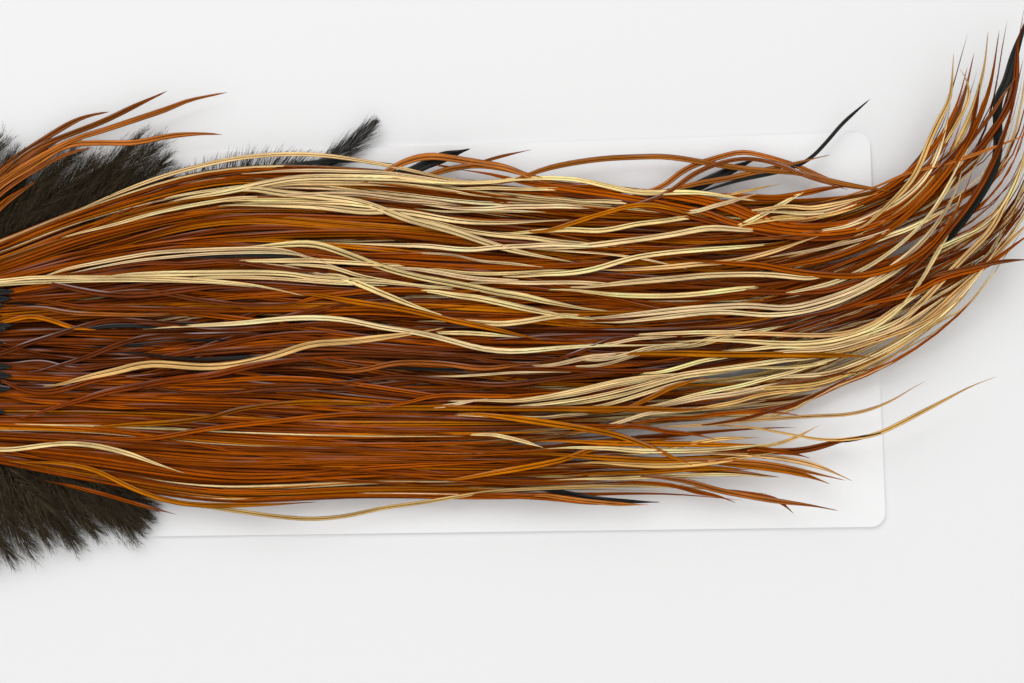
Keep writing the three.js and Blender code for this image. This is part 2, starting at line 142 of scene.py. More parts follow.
UPPER_CREAMS = (
    Drawn(Tone.CREAM, 1.6, ((-44, 38.4), (-36, 41.6), (-20, 47), (0, 51), (20, 51.4), (40, 48), (60, 43),
        (70, 41.6)), False),
    Drawn(Tone.CREAM, 2.5, ((42.3, 44.6), (50, 43.3), (60, 42.3), (70.5, 42), (75.6, 42.6), (81.5, 42.8),
        (89.3, 42.6), (95.2, 41.9), (101, 40.4), (109.2, 38.2), (115, 37.7), (120.7, 37.7), (126.4, 37.5),
        (130.6, 37), (135.9, 35.9), (141, 34.8)), False),
    Drawn(Tone.CREAM, 1.3, ((5, 46.6), (10.5, 46.9), (17.7, 46.9), (25.6, 46.6), (33.6, 46.1), (40.3, 45.7),
        (50, 44.2), (58, 42.8)), False),
    Drawn(Tone.CREAM, 2.4, ((-14, 40.2), (-8, 40.8), (-2, 41.8), (3.8, 43), (9.8, 44), (14.5, 44.7),
        (21.7, 44.9), (33.6, 44.5), (45.5, 43.8), (55, 42.6), (66, 42), (79, 42.5)), False),
    Drawn(Tone.CREAM, 2.0, ((8, 42.4), (14, 43.2), (20, 43.2), (31.6, 42.8), (42.3, 42.2), (50, 41.2),
        (56, 40.2), (60, 39.7), (65.8, 38.4), (72, 37.6))),
    Drawn(Tone.CREAM, 2.5, ((-6, 41.4), (0, 42), (5, 42), (10.6, 40.8), (21.7, 39.5), (31.6, 38),
        (37.5, 36.3), (45.5, 32.9), (50, 31.4), (60, 28.5), (70, 24.7), (79, 22), (94, 18.8))),
    Drawn(Tone.CREAM, 2.0, ((14, 40), (20, 40), (31.6, 39.8), (40.3, 38.6), (45.5, 37.7), (53, 37)), False),
    Drawn(Tone.CREAM, 2.3, ((-3, 37.7), (5, 37.6), (13.7, 37.2), (21.7, 36.6), (29.6, 35.4), (36, 34.6),
        (42.3, 34.7), (48.2, 34), (54, 32.8), (59.9, 31.6), (65.8, 30.9), (73.6, 30.5), (81.5, 30.6),
        (93, 30.9))),
    Drawn(Tone.CREAM, 1.6, ((5, 38.4), (13.7, 38.2), (20, 37.8), (29.6, 37.2), (36, 36.2)), False),
    Drawn(Tone.CREAM, 1.6, ((-14, 38.2), (-6, 38.9), (1.8, 39.1), (9.8, 38.9), (17, 38.6)), False),
    Drawn(Tone.CREAM, 1.8, ((-18, 40.8), (-10, 41.8), (-4, 42.4), (2, 42.9)), False),
    Drawn(Tone.CREAM, 1.5, ((-48, 30.5), (-36, 33), (-24, 36), (-10, 38.4), (0, 39.6)), False),
    Drawn(Tone.CREAM, 2.9, ((4, 25.5), (12, 26), (21, 26), (30, 23), (40, 19), (50, 16), (60, 13.9),
        (66.8, 12.4), (72.1, 11.1), (78.7, 10), (83.7, 8.7), (90.6, 7.2), (95.2, 6.2), (103, 5.3))),
    Drawn(Tone.CREAM, 2.4, ((54, 12), (60, 10.7), (66, 9.9), (72, 8.5), (78.6, 6.8), (84, 5.6), (90, 4.2),
        (99, 3))),
    Drawn(Tone.CREAM, 2.0, ((4, 20.8), (11.7, 19.8), (17.7, 18.5), (21.7, 17.3), (25.6, 16.6), (31, 15.6)),
        False),
    Drawn(Tone.CREAM, 1.5, ((16, 20.4), (25.6, 19.4), (30, 18), (35.5, 16.3), (45.5, 14.4), (54, 13)),
        False),
    Drawn(Tone.CREAM, 2.3, ((27, 17), (33, 14.8), (39, 12.2), (45, 9.6), (50, 7.6), (57, 5.2))),
    Drawn(Tone.CREAM, 1.8, ((0, 21.8), (9.8, 21.6), (20.1, 21.4), (25.6, 21), (33.6, 20.3), (41, 19.6)),
        False),
    Drawn(Tone.CREAM, 2.4, ((-84, 17), (-68, 18), (-58, 18.7), (-40, 18.3), (-20, 17.4), (0, 15.5),
        (8.6, 14), (19, 11.4))),
    Drawn(Tone.CREAM, 1.5, ((-84, 16), (-68, 17), (-50, 17.4), (-30, 17.2), (-10, 16), (5, 14.2))),
    Drawn(Tone.CREAM, 1.5, ((-56, 18.6), (-50, 20.7), (-39, 22.6), (-30, 24), (-20, 25), (8.6, 25),
        (20, 22), (34, 17))),
    Drawn(Tone.CREAM, 1.1, ((-44, 20.4), (-30, 22.6), (-14, 23.8), (-4, 24.1), (8, 24), (16, 23.2),
        (24, 21.4))),
    Drawn(Tone.CREAM, 2.1, ((-38, 18), (-30, 18.8), (8.6, 18.3), (20, 16.7), (30, 15.7), (40, 14.9),
        (50, 13.6), (61, 12.2))),
    Drawn(Tone.CREAM, 1.6, ((-12, 17.4), (0, 17.2), (10, 16.6), (20, 15.6), (30, 14.6), (42, 13.8))),
    Drawn(Tone.CREAM, 1.4, ((62, 40.3), (69.7, 40.4), (75.6, 40), (81.5, 39.7), (88, 39.6)), False),
    Drawn(Tone.CREAM, 1.9, ((77, 38.4), (80.7, 37.9), (85.4, 37.2), (91.3, 36.7), (95, 36), (101, 35.8),
        (106, 35.3)), False),
    Drawn(Tone.CREAM, 1.9, ((56, 35.6), (60, 35), (69.7, 34.5), (75.6, 34.9), (81.5, 34.8), (90, 34.7)),
        False),
    Drawn(Tone.CREAM, 1.0, ((58, 34), (70, 33.8), (80, 33.5), (86, 33.1))),
    Drawn(Tone.CREAM, 1.9, ((50, 32.6), (56, 31), (60, 29.6), (65.8, 28.1), (73.6, 26.9), (81.5, 26.1),
        (87.4, 25), (93.3, 24.3), (102, 23.5)), False),
    Drawn(Tone.CREAM, 2.0, ((76, 27.4), (85.4, 28), (93.3, 28.1), (99, 27.5), (105, 28.1), (109.7, 29.1),
        (114.7, 29.5), (119.7, 30), (125, 30.7)), False),
    Drawn(Tone.CREAM, 1.9, ((36, 25.6), (48, 24.9), (54, 24.5), (60, 23.6), (65.8, 23.2), (70.5, 23.7),
        (81.5, 23.9), (87.4, 24.1), (97, 23.4)), False),
    Drawn(Tone.CREAM, 1.2, ((54.8, 22.4), (60, 21.9), (65.8, 20.3), (70.5, 19.6), (75.6, 19.1),
        (81.5, 18.3), (85, 17.8))),
    Drawn(Tone.CREAM, 1.7, ((45, 18.6), (50, 18.2), (56, 17.1), (60, 16.2), (65.8, 15.2), (73, 14.6)),
        False),
    Drawn(Tone.CREAM, 1.3, ((56, 18), (62, 17), (70, 16.4), (78, 16.5), (87, 16.8)), False),
    Drawn(Tone.CREAM, 1.5, ((62, 13.6), (70, 14.2), (80, 13.6), (88, 13.5), (95, 13.3), (102, 12.6)),
        False),
)
MIDDLE_CREAMS = (
    Drawn(Tone.CREAM, 2.0, ((-22, 3.6), (-14, 4), (0, 4.4), (10, 5.2), (20, 5.5), (30, 4.6), (40, 2.3),
        (50, 0.6), (60, -2.1), (66.5, -4), (73.7, -5), (79.5, -5), (90, -4.3), (99, -4), (108.8, -4.2),
        (118, -4.1), (127, -4.4))),
    Drawn(Tone.STRAW, 2.7, ((-52, -12), (-44, -10), (-35, -8.3), (-25, -6.4), (-10, -7.6), (0, -7),
        (10, -4.9), (20, -2), (30, -1.5), (40, -0.5), (50, 0.6), (58, 2))),
    Drawn(Tone.CREAM, 2.1, ((60, 3.6), (66, 3.1), (71.8, 2.5), (77.6, 2.9), (83.4, 3.7), (88, 4.4)), False),
    Drawn(Tone.CREAM, 1.6, ((62, 0.3), (66, 0), (71.9, -0.6), (78, -1.3))),
    Drawn(Tone.CREAM, 2.0, ((78, 15.4), (85.4, 15.9), (91.3, 16), (98.6, 17), (106, 19.1), (112, 20.3),
        (121.3, 21.2), (131.3, 21.7), (141, 22.2)), False),
    Drawn(Tone.CREAM, 2.2, ((84, 23), (98, 23.6), (107, 24.5), (112.8, 25.1), (120.4, 26), (126, 27),
        (130.3, 27.5), (135.7, 27.1), (141, 26.4)), False),
    Drawn(Tone.CREAM, 0.8, ((90, 22.2), (98, 21.5), (103, 20.9), (110, 19.8), (116.2, 18.4), (124, 16.2))),
    Drawn(Tone.CREAM, 2.1, ((96, 12), (107, 13), (120, 13.8), (130, 14.5), (145, 14.3), (157, 12.8)),
        False),
    Drawn(Tone.CREAM, 2.2, ((100, 3.5), (113, 4.5), (125, 5.5), (140, 6), (150, 5), (160, 7), (168, 9.6),
        (176, 13.8), (185, 20.4), (191, 27), (196, 35), (199, 44))),
    Drawn(Tone.CREAM, 1.8, ((106, 2.2), (118, 3.3), (132, 4.4), (146, 3.2), (158, 4.6), (170, 9), (182, 16),
        (193, 25)), False),
    Drawn(Tone.CREAM, 1.8, ((136, 27), (142.9, 30), (147.2, 32.2), (150.3, 33.9), (155, 36.4),
        (159.5, 38.8))),
    Drawn(Tone.STRAW, 1.9, ((106, 16.5), (118, 17), (127.5, 17.7), (133.6, 17.9), (139.5, 18.8), (145, 20),
        (150, 21.4), (154.6, 23), (160, 24.6))),
    Drawn(Tone.CREAM, 1.8, ((92, 11.4), (106, 9.6), (122, 9.2), (138, 10.6)), False),
    Drawn(Tone.CREAM, 1.6, ((126, 32), (132, 33.7), (135.8, 34.5), (139.7, 35.7), (143.5, 36.6))),
    Drawn(Tone.STRAW, 0.9, ((132, 35.8), (138.6, 37.1), (143.5, 38), (150, 39.2))),
    Drawn(Tone.STRAW, 2.2, ((138, 28), (145, 29.2), (149.5, 29.8), (155.2, 30), (160.9, 30.2), (167, 31.6)),
        False),
    Drawn(Tone.STRAW, 1.9, ((142, 32), (147.5, 32.6), (151.6, 33), (156.5, 32.2), (161, 32.6),
        (166.6, 33.6), (171.1, 34.6), (176, 35.8))),
    Drawn(Tone.CREAM, 1.9, ((143, 31.6), (149.6, 31.4), (155.2, 30.8), (160.8, 31), (164.5, 31.7),
        (172, 34)), False),
    Drawn(Tone.STRAW, 1.7, ((140, 28.6), (146.1, 28.8), (153.2, 28.7), (157.7, 29.2), (163, 30.2)), False),
    Drawn(Tone.CREAM, 1.9, ((160, 26), (166, 26.6), (170, 28), (173.5, 29.4), (177.4, 31.3), (181.3, 33.5),
        (185.2, 36.5), (188.3, 39.8), (191.1, 44.4), (194, 52), (196, 60))),
    Drawn(Tone.CREAM, 1.9, ((168, 21), (175, 23), (178.8, 24.4), (182.6, 25.5), (188, 28)), False),
    Drawn(Tone.CREAM, 1.3, ((150, 19.6), (159, 20.8), (164.3, 21.8), (170.3, 23.1), (177, 25)), False),
    Drawn(Tone.CREAM, 0.9, ((60, -11.6), (70.4, -11.2), (75.8, -10.9), (87.4, -11), (92, -11.2))),
    Drawn(Tone.CREAM, 1.2, ((56, -19.8), (61.5, -19), (65, -18.3), (69, -17.9))),
)
LOWER_CREAMS = (
    Drawn(Tone.CREAM, 1.8, ((62, -18.4), (67.7, -18.2), (75.4, -18.6), (79.3, -18.3), (85.1, -17.5),
        (90.9, -16.4), (96.8, -15.3), (102.6, -14.1), (110, -13), (118, -12.4)), False),
    Drawn(Tone.CREAM, 1.4, ((80, -18.9), (85.9, -18.1), (93.5, -17), (101, -15.5), (107, -14.5),
        (114, -13.4)), False),
    Drawn(Tone.CREAM, 2.0, ((76, -20.2), (85.9, -19.4), (93.5, -18.5), (101, -17.2), (108.5, -15.5),
        (114.2, -14.1), (119.9, -12.5), (125.5, -11.7), (131.2, -11.1), (138.7, -10.3), (145.7, -9.4),
        (150.2, -8.9), (157, -8.6)), False),
    Drawn(Tone.CREAM, 1.7, ((90, -19.9), (95, -19.4), (101, -18.4), (107, -17.2), (112.3, -15.6),
        (118, -14), (123.6, -12.8), (130, -12.3)), False),
    Drawn(Tone.CREAM, 1.4, ((94, -21), (99, -20.6), (104.7, -19.2), (110.4, -17.6), (116, -16),
        (121, -14.5)), False),
    Drawn(Tone.AMBER, 1.8, ((102, -22), (107, -21), (109.9, -19.7), (114.1, -17.9), (118.7, -15.7),
        (123.6, -14.3), (128.5, -13.2))),
    Drawn(Tone.CREAM, 1.4, ((114, -20.6), (119.7, -19.2), (125.3, -17.8), (131, -16.8), (138.5, -15.4),
        (145, -13.6), (149.3, -12.7), (153.9, -11.3), (158.8, -9.7), (164, -8.6)), False),
    Drawn(Tone.CREAM, 1.7, ((116, -20.8), (122, -19.6), (127.3, -18.6), (132.9, -18.1), (138.4, -17.2),
        (144, -16)), False),
    Drawn(Tone.STRAW, 1.4, ((122, -22.2), (126.8, -21.6), (132.8, -20.6), (136.5, -19.9), (141, -18.6),
        (148, -17.6), (155, -17.2), (162, -16))),
    Drawn(Tone.CREAM, 1.8, ((86, -9.2), (91.7, -8.1), (96.6, -7), (101, -6.8), (107, -6.4)), False),
    Drawn(Tone.CREAM, 1.5, ((98, -9.6), (102, -9), (106, -7.8), (109.7, -6.8), (113, -5.9), (117, -5.1)),
        False),
    Drawn(Tone.CREAM, 1.3, ((100, -8), (106, -6.8), (110, -5.6), (114, -4.7), (118, -4.3)), False),
    Drawn(Tone.CREAM, 1.2, ((101, -3.8), (105.1, -3.2), (108.8, -2.4), (113.5, -2.2)), False),
    Drawn(Tone.CREAM, 1.4, ((121, -4.6), (125.3, -4), (128.8, -2.7), (133.2, -1.8), (140, -1.4)), False),
    Drawn(Tone.CREAM, 1.3, ((125, -4.8), (129, -4), (133.2, -2.8), (138, -1.6)), False),
    Drawn(Tone.CREAM, 1.4, ((114, -1.2), (120.1, -1.1), (127.6, -1), (135.1, -1.1)), False),
    Drawn(Tone.CREAM, 1.5, ((116, -11.6), (122.2, -10.1), (126.7, -8.8), (132, -8)), False),
    Drawn(Tone.STRAW, 1.7, ((128, -1.8), (134.6, -1.9), (142.1, -1.7), (151.5, -2.3), (160.8, -2.6),
        (166.5, -2), (170.3, -0.9), (174, 0.9), (180, 5)), False),
    Drawn(Tone.CREAM, 1.8, ((126, -3.2), (134.5, -3.4), (145.8, -4.3), (153.3, -4.6), (160.8, -4.1),
        (167.3, -2.7), (172.2, -1), (176, 1.2), (183, 6.8)), False),
    Drawn(Tone.CREAM, 1.8, ((134, -6.2), (140.1, -6), (147.7, -5.2), (155.5, -5.5), (162.6, -4.7),
        (168.3, -3.1), (174, -1.4), (179.8, 0.9), (187, 6)), False),
    Drawn(Tone.CREAM, 1.7, ((138, -7.2), (144.9, -7.1), (151.3, -6.5), (158.5, -6.5), (164.6, -5.5),
        (170.3, -3.9), (175.9, -2.2), (181.6, 0.1), (190, 5.6)), False),
    Drawn(Tone.STRAW, 1.5, ((154, -7.8), (160.7, -7.5), (166.4, -6.5), (172.1, -4.7), (177.8, -3),
        (183.4, -1), (190, 2.2), (198, 8))),
    Drawn(Tone.CREAM, 1.5, ((128, -12), (134.3, -11.4), (140, -10.8), (147.5, -11.1), (153, -10.9),
        (159, -10.2)), False),
    Drawn(Tone.CREAM, 1.4, ((99, -26.4), (103, -25.4), (106.8, -24.2), (111.3, -22.8), (116, -22.3)),
        False),
    Drawn(Tone.CREAM, 1.8, ((92, -31.5), (103, -32), (108.2, -32.6), (119.5, -32.9), (127, -32.8),
        (134.5, -32.4), (147, -31.2))),
    Drawn(Tone.STRAW, 1.4, ((110, -33.4), (116.5, -32.3), (121.4, -31.4), (127, -30.4), (132, -29.8)),
        False),
    Drawn(Tone.CREAM, 1.4, ((66, -22.4), (71.3, -22.7), (83, -23.4), (89, -22.8)), False),
    Drawn(Tone.CREAM, 1.4, ((70, -27.6), (78, -29.5), (84, -31.5))),
    Drawn(Tone.CREAM, 1.5, ((94, -40), (105, -40), (118, -39.5), (135, -39.5), (145, -40.5))),
    Drawn(Tone.CREAM, 1.9, ((-84, -28), (-67, -29.4), (-60, -29), (-50, -28), (-40, -28.8), (-30, -31.4),
        (-25, -33.3), (-14.3, -37))),
    Drawn(Tone.AMBER, 1.8, ((-60, -33), (-50, -33.5), (-40, -35.6), (-30, -40.5), (-20, -44), (-10, -45.5),
        (8.7, -45.6)), False),
    Drawn(Tone.STRAW, 1.5, ((-20, -44.6), (-10, -45.8), (0, -47.3), (10, -48.8), (20, -49.7), (30, -49),
        (40, -47), (50, -45.8), (70, -43), (90, -42.3), (118, -42), (125, -42))),
)
SWEEPING_RUSTS = (
    Drawn(Tone.RUST, 2.3, ((70, 44.4), (80, 41.6), (90, 39.8), (97.8, 38.4), (103.5, 37.5), (109.3, 36.3),
        (115, 35.2), (120.8, 33.8), (126.6, 32.5), (130.8, 31.2), (134.3, 29.5), (138.1, 28.2),
        (141.9, 27.5), (147.7, 26.4), (155.4, 25.4), (163, 25.2), (170, 26), (177, 28), (184, 32),
        (190, 38), (195, 46), (199, 56))),
    Drawn(Tone.RUST, 2.3, ((84, 41), (92, 40), (100, 39.4), (108, 38.6), (116, 37.2), (124.6, 35.6),
        (130.6, 34.1), (136, 32.2), (140.2, 30.1), (145.6, 28), (151.3, 26.7), (158, 26.2), (166, 26.6),
        (174, 28.4), (181, 31.6), (187, 36.4), (192, 43), (196, 52))),
    Drawn(Tone.BROWN, 2.0, ((90, 38), (98, 36.8), (106, 35.4), (114, 33.6), (122, 31.6), (129, 29.6),
        (135, 27.8), (143, 26), (152, 24.2), (162, 23.6), (171, 24.6), (180, 27.6), (188, 33), (194, 41),
        (199, 52))),
    Drawn(Tone.RUST, 2.0, ((112, 38.6), (122, 37), (130, 35.4), (137, 33.4), (143, 30.6), (150, 28.2),
        (158, 27.4), (167, 28), (176, 30.8), (184, 36), (190, 44))),
    Drawn(Tone.AMBER, 1.9, ((84, 27.6), (90, 29), (97.7, 31.3), (103.3, 32.8), (109, 34.2), (114.8, 34.2),
        (120.6, 32.8), (128, 30.4))),
    Drawn(Tone.RUST, 2.3, ((126, 18.6), (138, 17.4), (143.6, 16.9), (149.2, 15.6), (154.9, 14.5),
        (160.5, 13.8), (168, 13.2), (173.6, 13.8), (179.3, 15.5), (185, 18.1), (190, 22), (196, 30),
        (201, 41))),
    Drawn(Tone.BROWN, 2.1, ((124, 9.2), (130, 9.5), (138, 9.7), (149, 9.3), (160.5, 9.4), (166, 10.8),
        (171.7, 12.2), (179, 15), (188, 21.6), (196, 31))),
    Drawn(Tone.RUST, 2.0, ((134, 36.6), (142, 35.8), (149, 35.4), (156, 36.4), (163, 37.6), (170, 38))),
    Drawn(Tone.AMBER, 2.5, ((36, -19.8), (45, -20), (56.5, -20.2), (68, -20.6), (85.8, -21), (97, -21.3),
        (108.3, -21.4), (117.7, -21.8), (125, -21.9), (132, -21.4))),
    Drawn(Tone.RUST, 1.6, ((92, -27.4), (103.8, -26), (110.2, -25), (117.7, -24.1), (125.3, -23.9),
        (132.8, -23), (143.3, -22.8), (149.7, -23.5), (155.5, -24.6))),
    Drawn(Tone.RUST, 1.7, ((90, -25.4), (100, -26), (110, -26.2), (116, -27.6), (123.4, -28.4),
        (130, -29.9))),
    Drawn(Tone.RUST, 1.7, ((38, -20.4), (45, -18.8), (50, -17.7), (54.5, -16.8), (60, -16.7), (70, -17.2)),
        False),
)
ARCHING_RUSTS = (
    Drawn(Tone.TAWNY, 2.6, ((36, 43), (45, 47.8), (50, 49.4), (55, 49.8), (65, 48), (75, 46), (84, 42)),
        False),
    Drawn(Tone.RUST, 2.2, ((14, 9), (22, 11.2), (30, 12), (38.5, 12.7), (50, 12.5), (60, 11.7), (72, 12))),
    Drawn(Tone.AMBER, 2.2, ((20, 12), (30, 10), (45, 7.4), (56.6, 4.5), (68, 1.8), (76, -0.2), (85, -2.4))),
    Drawn(Tone.AMBER, 2.3, ((-40, -23.6), (-29, -23.1), (-18.2, -22.7), (-7.4, -21.5), (-0.2, -19.5),
        (10.6, -18.3), (21.4, -17.9), (34, -18.4)), False),
    Drawn(Tone.RUST, 1.8, ((-40, -26.5), (-25, -27), (-8, -24.6), (10, -23), (30, -21.4), (52, -22)),
        False),
    Drawn(Tone.PLUM, 2.0, ((-84, -6), (-67.5, -2.5), (-60, 0), (-50, 2.8), (-40, 5.6), (-32.7, 6.1),
        (-22, 5.2), (-10, 4.8))),
    Drawn(Tone.PLUM, 1.9, ((-58, -8), (-48, -5.5), (-41, -3.4), (-36, -1.4), (-29, 0.6), (-22, 1.5),
        (-11, 1.4), (0, 1.5)), False),
    Drawn(Tone.BROWN, 2.4, ((-62, -21), (-50.7, -17.6), (-43.5, -15.6), (-36.3, -13.7), (-29.1, -12.6),
        (-18.2, -10.8), (-7.4, -9.8), (3.4, -7.5), (14.2, -6.2), (26, -5.6)), False),
    Drawn(Tone.AMBER, 1.8, ((-74, 4.6), (-65.5, 6.6), (-59.3, 7.7), (-52.9, 6.3), (-47.1, 4.2),
        (-40, 3.4))),
    Drawn(Tone.BROWN, 1.9, ((-74, 11), (-65.1, 12), (-57.9, 12.5), (-50.7, 11), (-43.5, 9.8), (-32.7, 9.4),
        (-18.2, 8.7), (-4, 8.4)), False),
    Drawn(Tone.RUSSET, 1.7, ((-72, 9.4), (-64, 10.2), (-56, 10), (-48, 8.4), (-38, 7.8), (-24, 7.2)),
        False),
    Drawn(Tone.PLUM, 2.2, ((-62, 19), (-57.9, 18), (-50.7, 16.1), (-39.9, 13.7), (-29.1, 12.9),
        (-18.2, 13.8), (-7.4, 14.8), (3, 14.2)), False),
    Drawn(Tone.PLUM, 1.8, ((-44, 19.6), (-36.3, 20.8), (-25.5, 21.9), (-14.6, 21.4), (-3.8, 21.9),
        (7, 20.2), (18, 18.6)), False),
    Drawn(Tone.PLUM, 1.9, ((-40, 13.6), (-26, 14), (-10, 11), (4, 9.4), (18, 9.8))),
    Drawn(Tone.PLUM, 2.2, ((-30, -12), (-21.8, -13.2), (-14.6, -14.4), (-3.8, -14.9), (7, -13.9),
        (17.8, -13.6), (27, -13.9)), False),
    Drawn(Tone.BROWN, 2.0, ((-28, 5), (-18.2, 4), (-7.4, 2.5), (3.4, 2.7), (14.2, 3.3), (25, 3.8), (36, 3)),
        False),
    Drawn(Tone.BROWN, 2.0, ((-74, -8), (-67.3, -10), (-61.5, -12.8), (-54.3, -13.8), (-47.1, -12.4),
        (-41.3, -10.7), (-34, -9.8)), False),
    Drawn(Tone.RUST, 1.8, ((-74, -13), (-65.8, -14.4), (-57.9, -16), (-47.1, -16.9), (-36.3, -18),
        (-25.5, -18.9))),
    Drawn(Tone.BROWN, 1.8, ((-78, 0), (-68, 0.4), (-60, -2.4), (-50, -4), (-40, -5.2), (-28, -4.8)), False),
    Drawn(Tone.PLUM, 1.8, ((-74, -4), (-66, -5.6), (-56, -5.2), (-46, -7.4), (-34, -6.2)), False),
    Drawn(Tone.RUSSET, 2.0, ((20, -8.6), (32, -9.6), (44, -7.6), (56, -8), (68, -9.6), (80, -8.4)), False),
    Drawn(Tone.PLUM, 1.9, ((30, -12.6), (44, -11.4), (58, -12.8), (72, -14.2), (86, -13), (98, -11.6)),
        False),
    Drawn(Tone.PLUM, 1.7, ((60, -5.6), (72, -8), (84, -8.4), (94, -5.6), (104, -2)), False),
    Drawn(Tone.RUST, 2.2, ((-84, 30), (-74, 33.6), (-69, 39), (-65, 42.4), (-61.5, 44.6))),
    Drawn(Tone.RUST, 1.4, ((-48, -39.5), (-38, -42), (-28, -45), (-17, -48))),
)
UPPER_RIGHT_RUSTS = (
    Drawn(Tone.TAWNY, 2.0, ((106, 36), (117, 39), (120, 41), (125, 44.5), (137, 48), (142, 48), (153, 44.5),
        (160, 41), (167, 38), (180, 36))),
    Drawn(Tone.RUSSET, 1.8, ((108, 34), (119, 37.5), (127, 43), (138, 46.4), (148, 45), (158, 40.4),
        (168, 36.8))),
    Drawn(Tone.TAWNY, 2.0, ((118, 38), (127.6, 40), (135, 41), (140, 42), (150, 44), (163.5, 46.8))),
    Drawn(Tone.TAWNY, 2.1, ((44, 42), (50, 43.4), (58, 45.8), (66, 46.8), (74, 45.6), (82, 43.2), (88, 41)),
        False),
    Drawn(Tone.RUSSET, 1.2, ((62, 46), (72, 48.8), (82, 50.8))),
)
LOWER_RIGHT_RUSTS = (
    Drawn(Tone.AMBER, 2.6, ((66, -22), (80, -24), (100, -27.5), (108, -30), (115, -33), (125, -37.5))),
    Drawn(Tone.AMBER, 2.2, ((60, -39.6), (70, -38), (80, -36.5), (90, -34.5), (97, -32), (110, -30)),
        False),
    Drawn(Tone.RUST, 2.0, ((66, -43.8), (80, -44.5), (90, -45.5), (97, -46.5), (105, -47))),
    Drawn(Tone.RUST, 1.8, ((108, -41), (118, -42), (125, -44), (130, -45), (135, -47))),
    Drawn(Tone.TAWNY, 2.0, ((112, -39.6), (122, -41), (130, -43.5), (145, -46.5), (155, -48),
        (162, -49.5))),
    Drawn(Tone.RUST, 1.6, ((134, -44), (145, -46), (150, -50))),
    Drawn(Tone.TAWNY, 1.9, ((122, -35.4), (135, -36), (145, -37), (160, -40.5), (164, -41.5))),
    Drawn(Tone.STRAW, 1.9, ((124, -33.6), (138, -34.2), (150, -35.8), (158, -38), (166, -41.8))),
    Drawn(Tone.AMBER, 2.3, ((84, -33), (100, -34.4), (116, -35.4), (130, -35), (144, -33.6))),
    Drawn(Tone.TAWNY, 2.1, ((94, -36), (110, -36.6), (124, -38), (136, -39), (147, -40.4))),
    Drawn(Tone.STRAW, 1.9, ((98, -35.6), (114, -36.8), (126, -36.4), (138, -34.8), (147, -33.6))),
    Drawn(Tone.AMBER, 2.0, ((100, -38.6), (114, -38.4), (126, -37.6), (139, -38.2))),
    Drawn(Tone.AMBER, 2.0, ((88, -29.6), (104, -30.6), (118, -31), (131, -31.4), (144, -31.6))),
    Drawn(Tone.TAWNY, 1.6, ((84, -44.2), (94, -45.8), (104, -46.8), (112, -47.2)), lift=1.0),
    Drawn(Tone.AMBER, 1.8, ((128, -36), (140, -37.5), (152, -39.5), (160, -42.4))),
    Drawn(Tone.BROWN, 2.2, ((124, -32.6), (135, -33), (150, -33.5), (157, -32.5), (163, -31),
        (171, -29.5))),
    Drawn(Tone.RUST, 1.8, ((140, -32.6), (150, -34), (155, -35.5))),
    Drawn(Tone.AMBER, 2.4, ((108, -6.4), (120, -6.6), (134, -7.2), (150, -7.6), (166, -8.2), (173, -8.9)),
        lift=0.6),
)
SEPARATE_TIPS = (
    Drawn(Tone.STRAW, 1.4, ((116, -26.4), (128, -26), (135, -25.3), (155, -24.3), (165, -24), (172, -22.5),
        (178, -20), (182, -17.5), (186, -15.5))),
    Drawn(Tone.STRAW, 1.5, ((128, -26), (140, -27), (150, -29), (158, -30.5), (165, -30.5), (172, -29.5),
        (178, -27), (185, -23.5), (192, -20), (198, -17), (205, -14.5))),
    Drawn(Tone.STRAW, 1.2, ((138, -33), (148, -31), (152, -29.5), (158, -26.5))),
    Drawn(Tone.BROWN, 1.2, ((128, -26), (138, -24.5), (147, -22), (155, -19.5), (163, -15.5), (170, -12))),
    Drawn(Tone.STRAW, 1.6, ((130, -17), (145, -16.5), (155, -16), (162, -14.5), (170, -11), (178, -7),
        (185, -2.5), (191, 1.5), (197, 7), (202, 14))),
    Drawn(Tone.CREAM, 1.5, ((138, -14), (150, -13.5), (160, -13), (168, -10.5), (176, -7), (183, -3),
        (190, 1.5), (196, 7), (203, 15), (209, 24))),
)
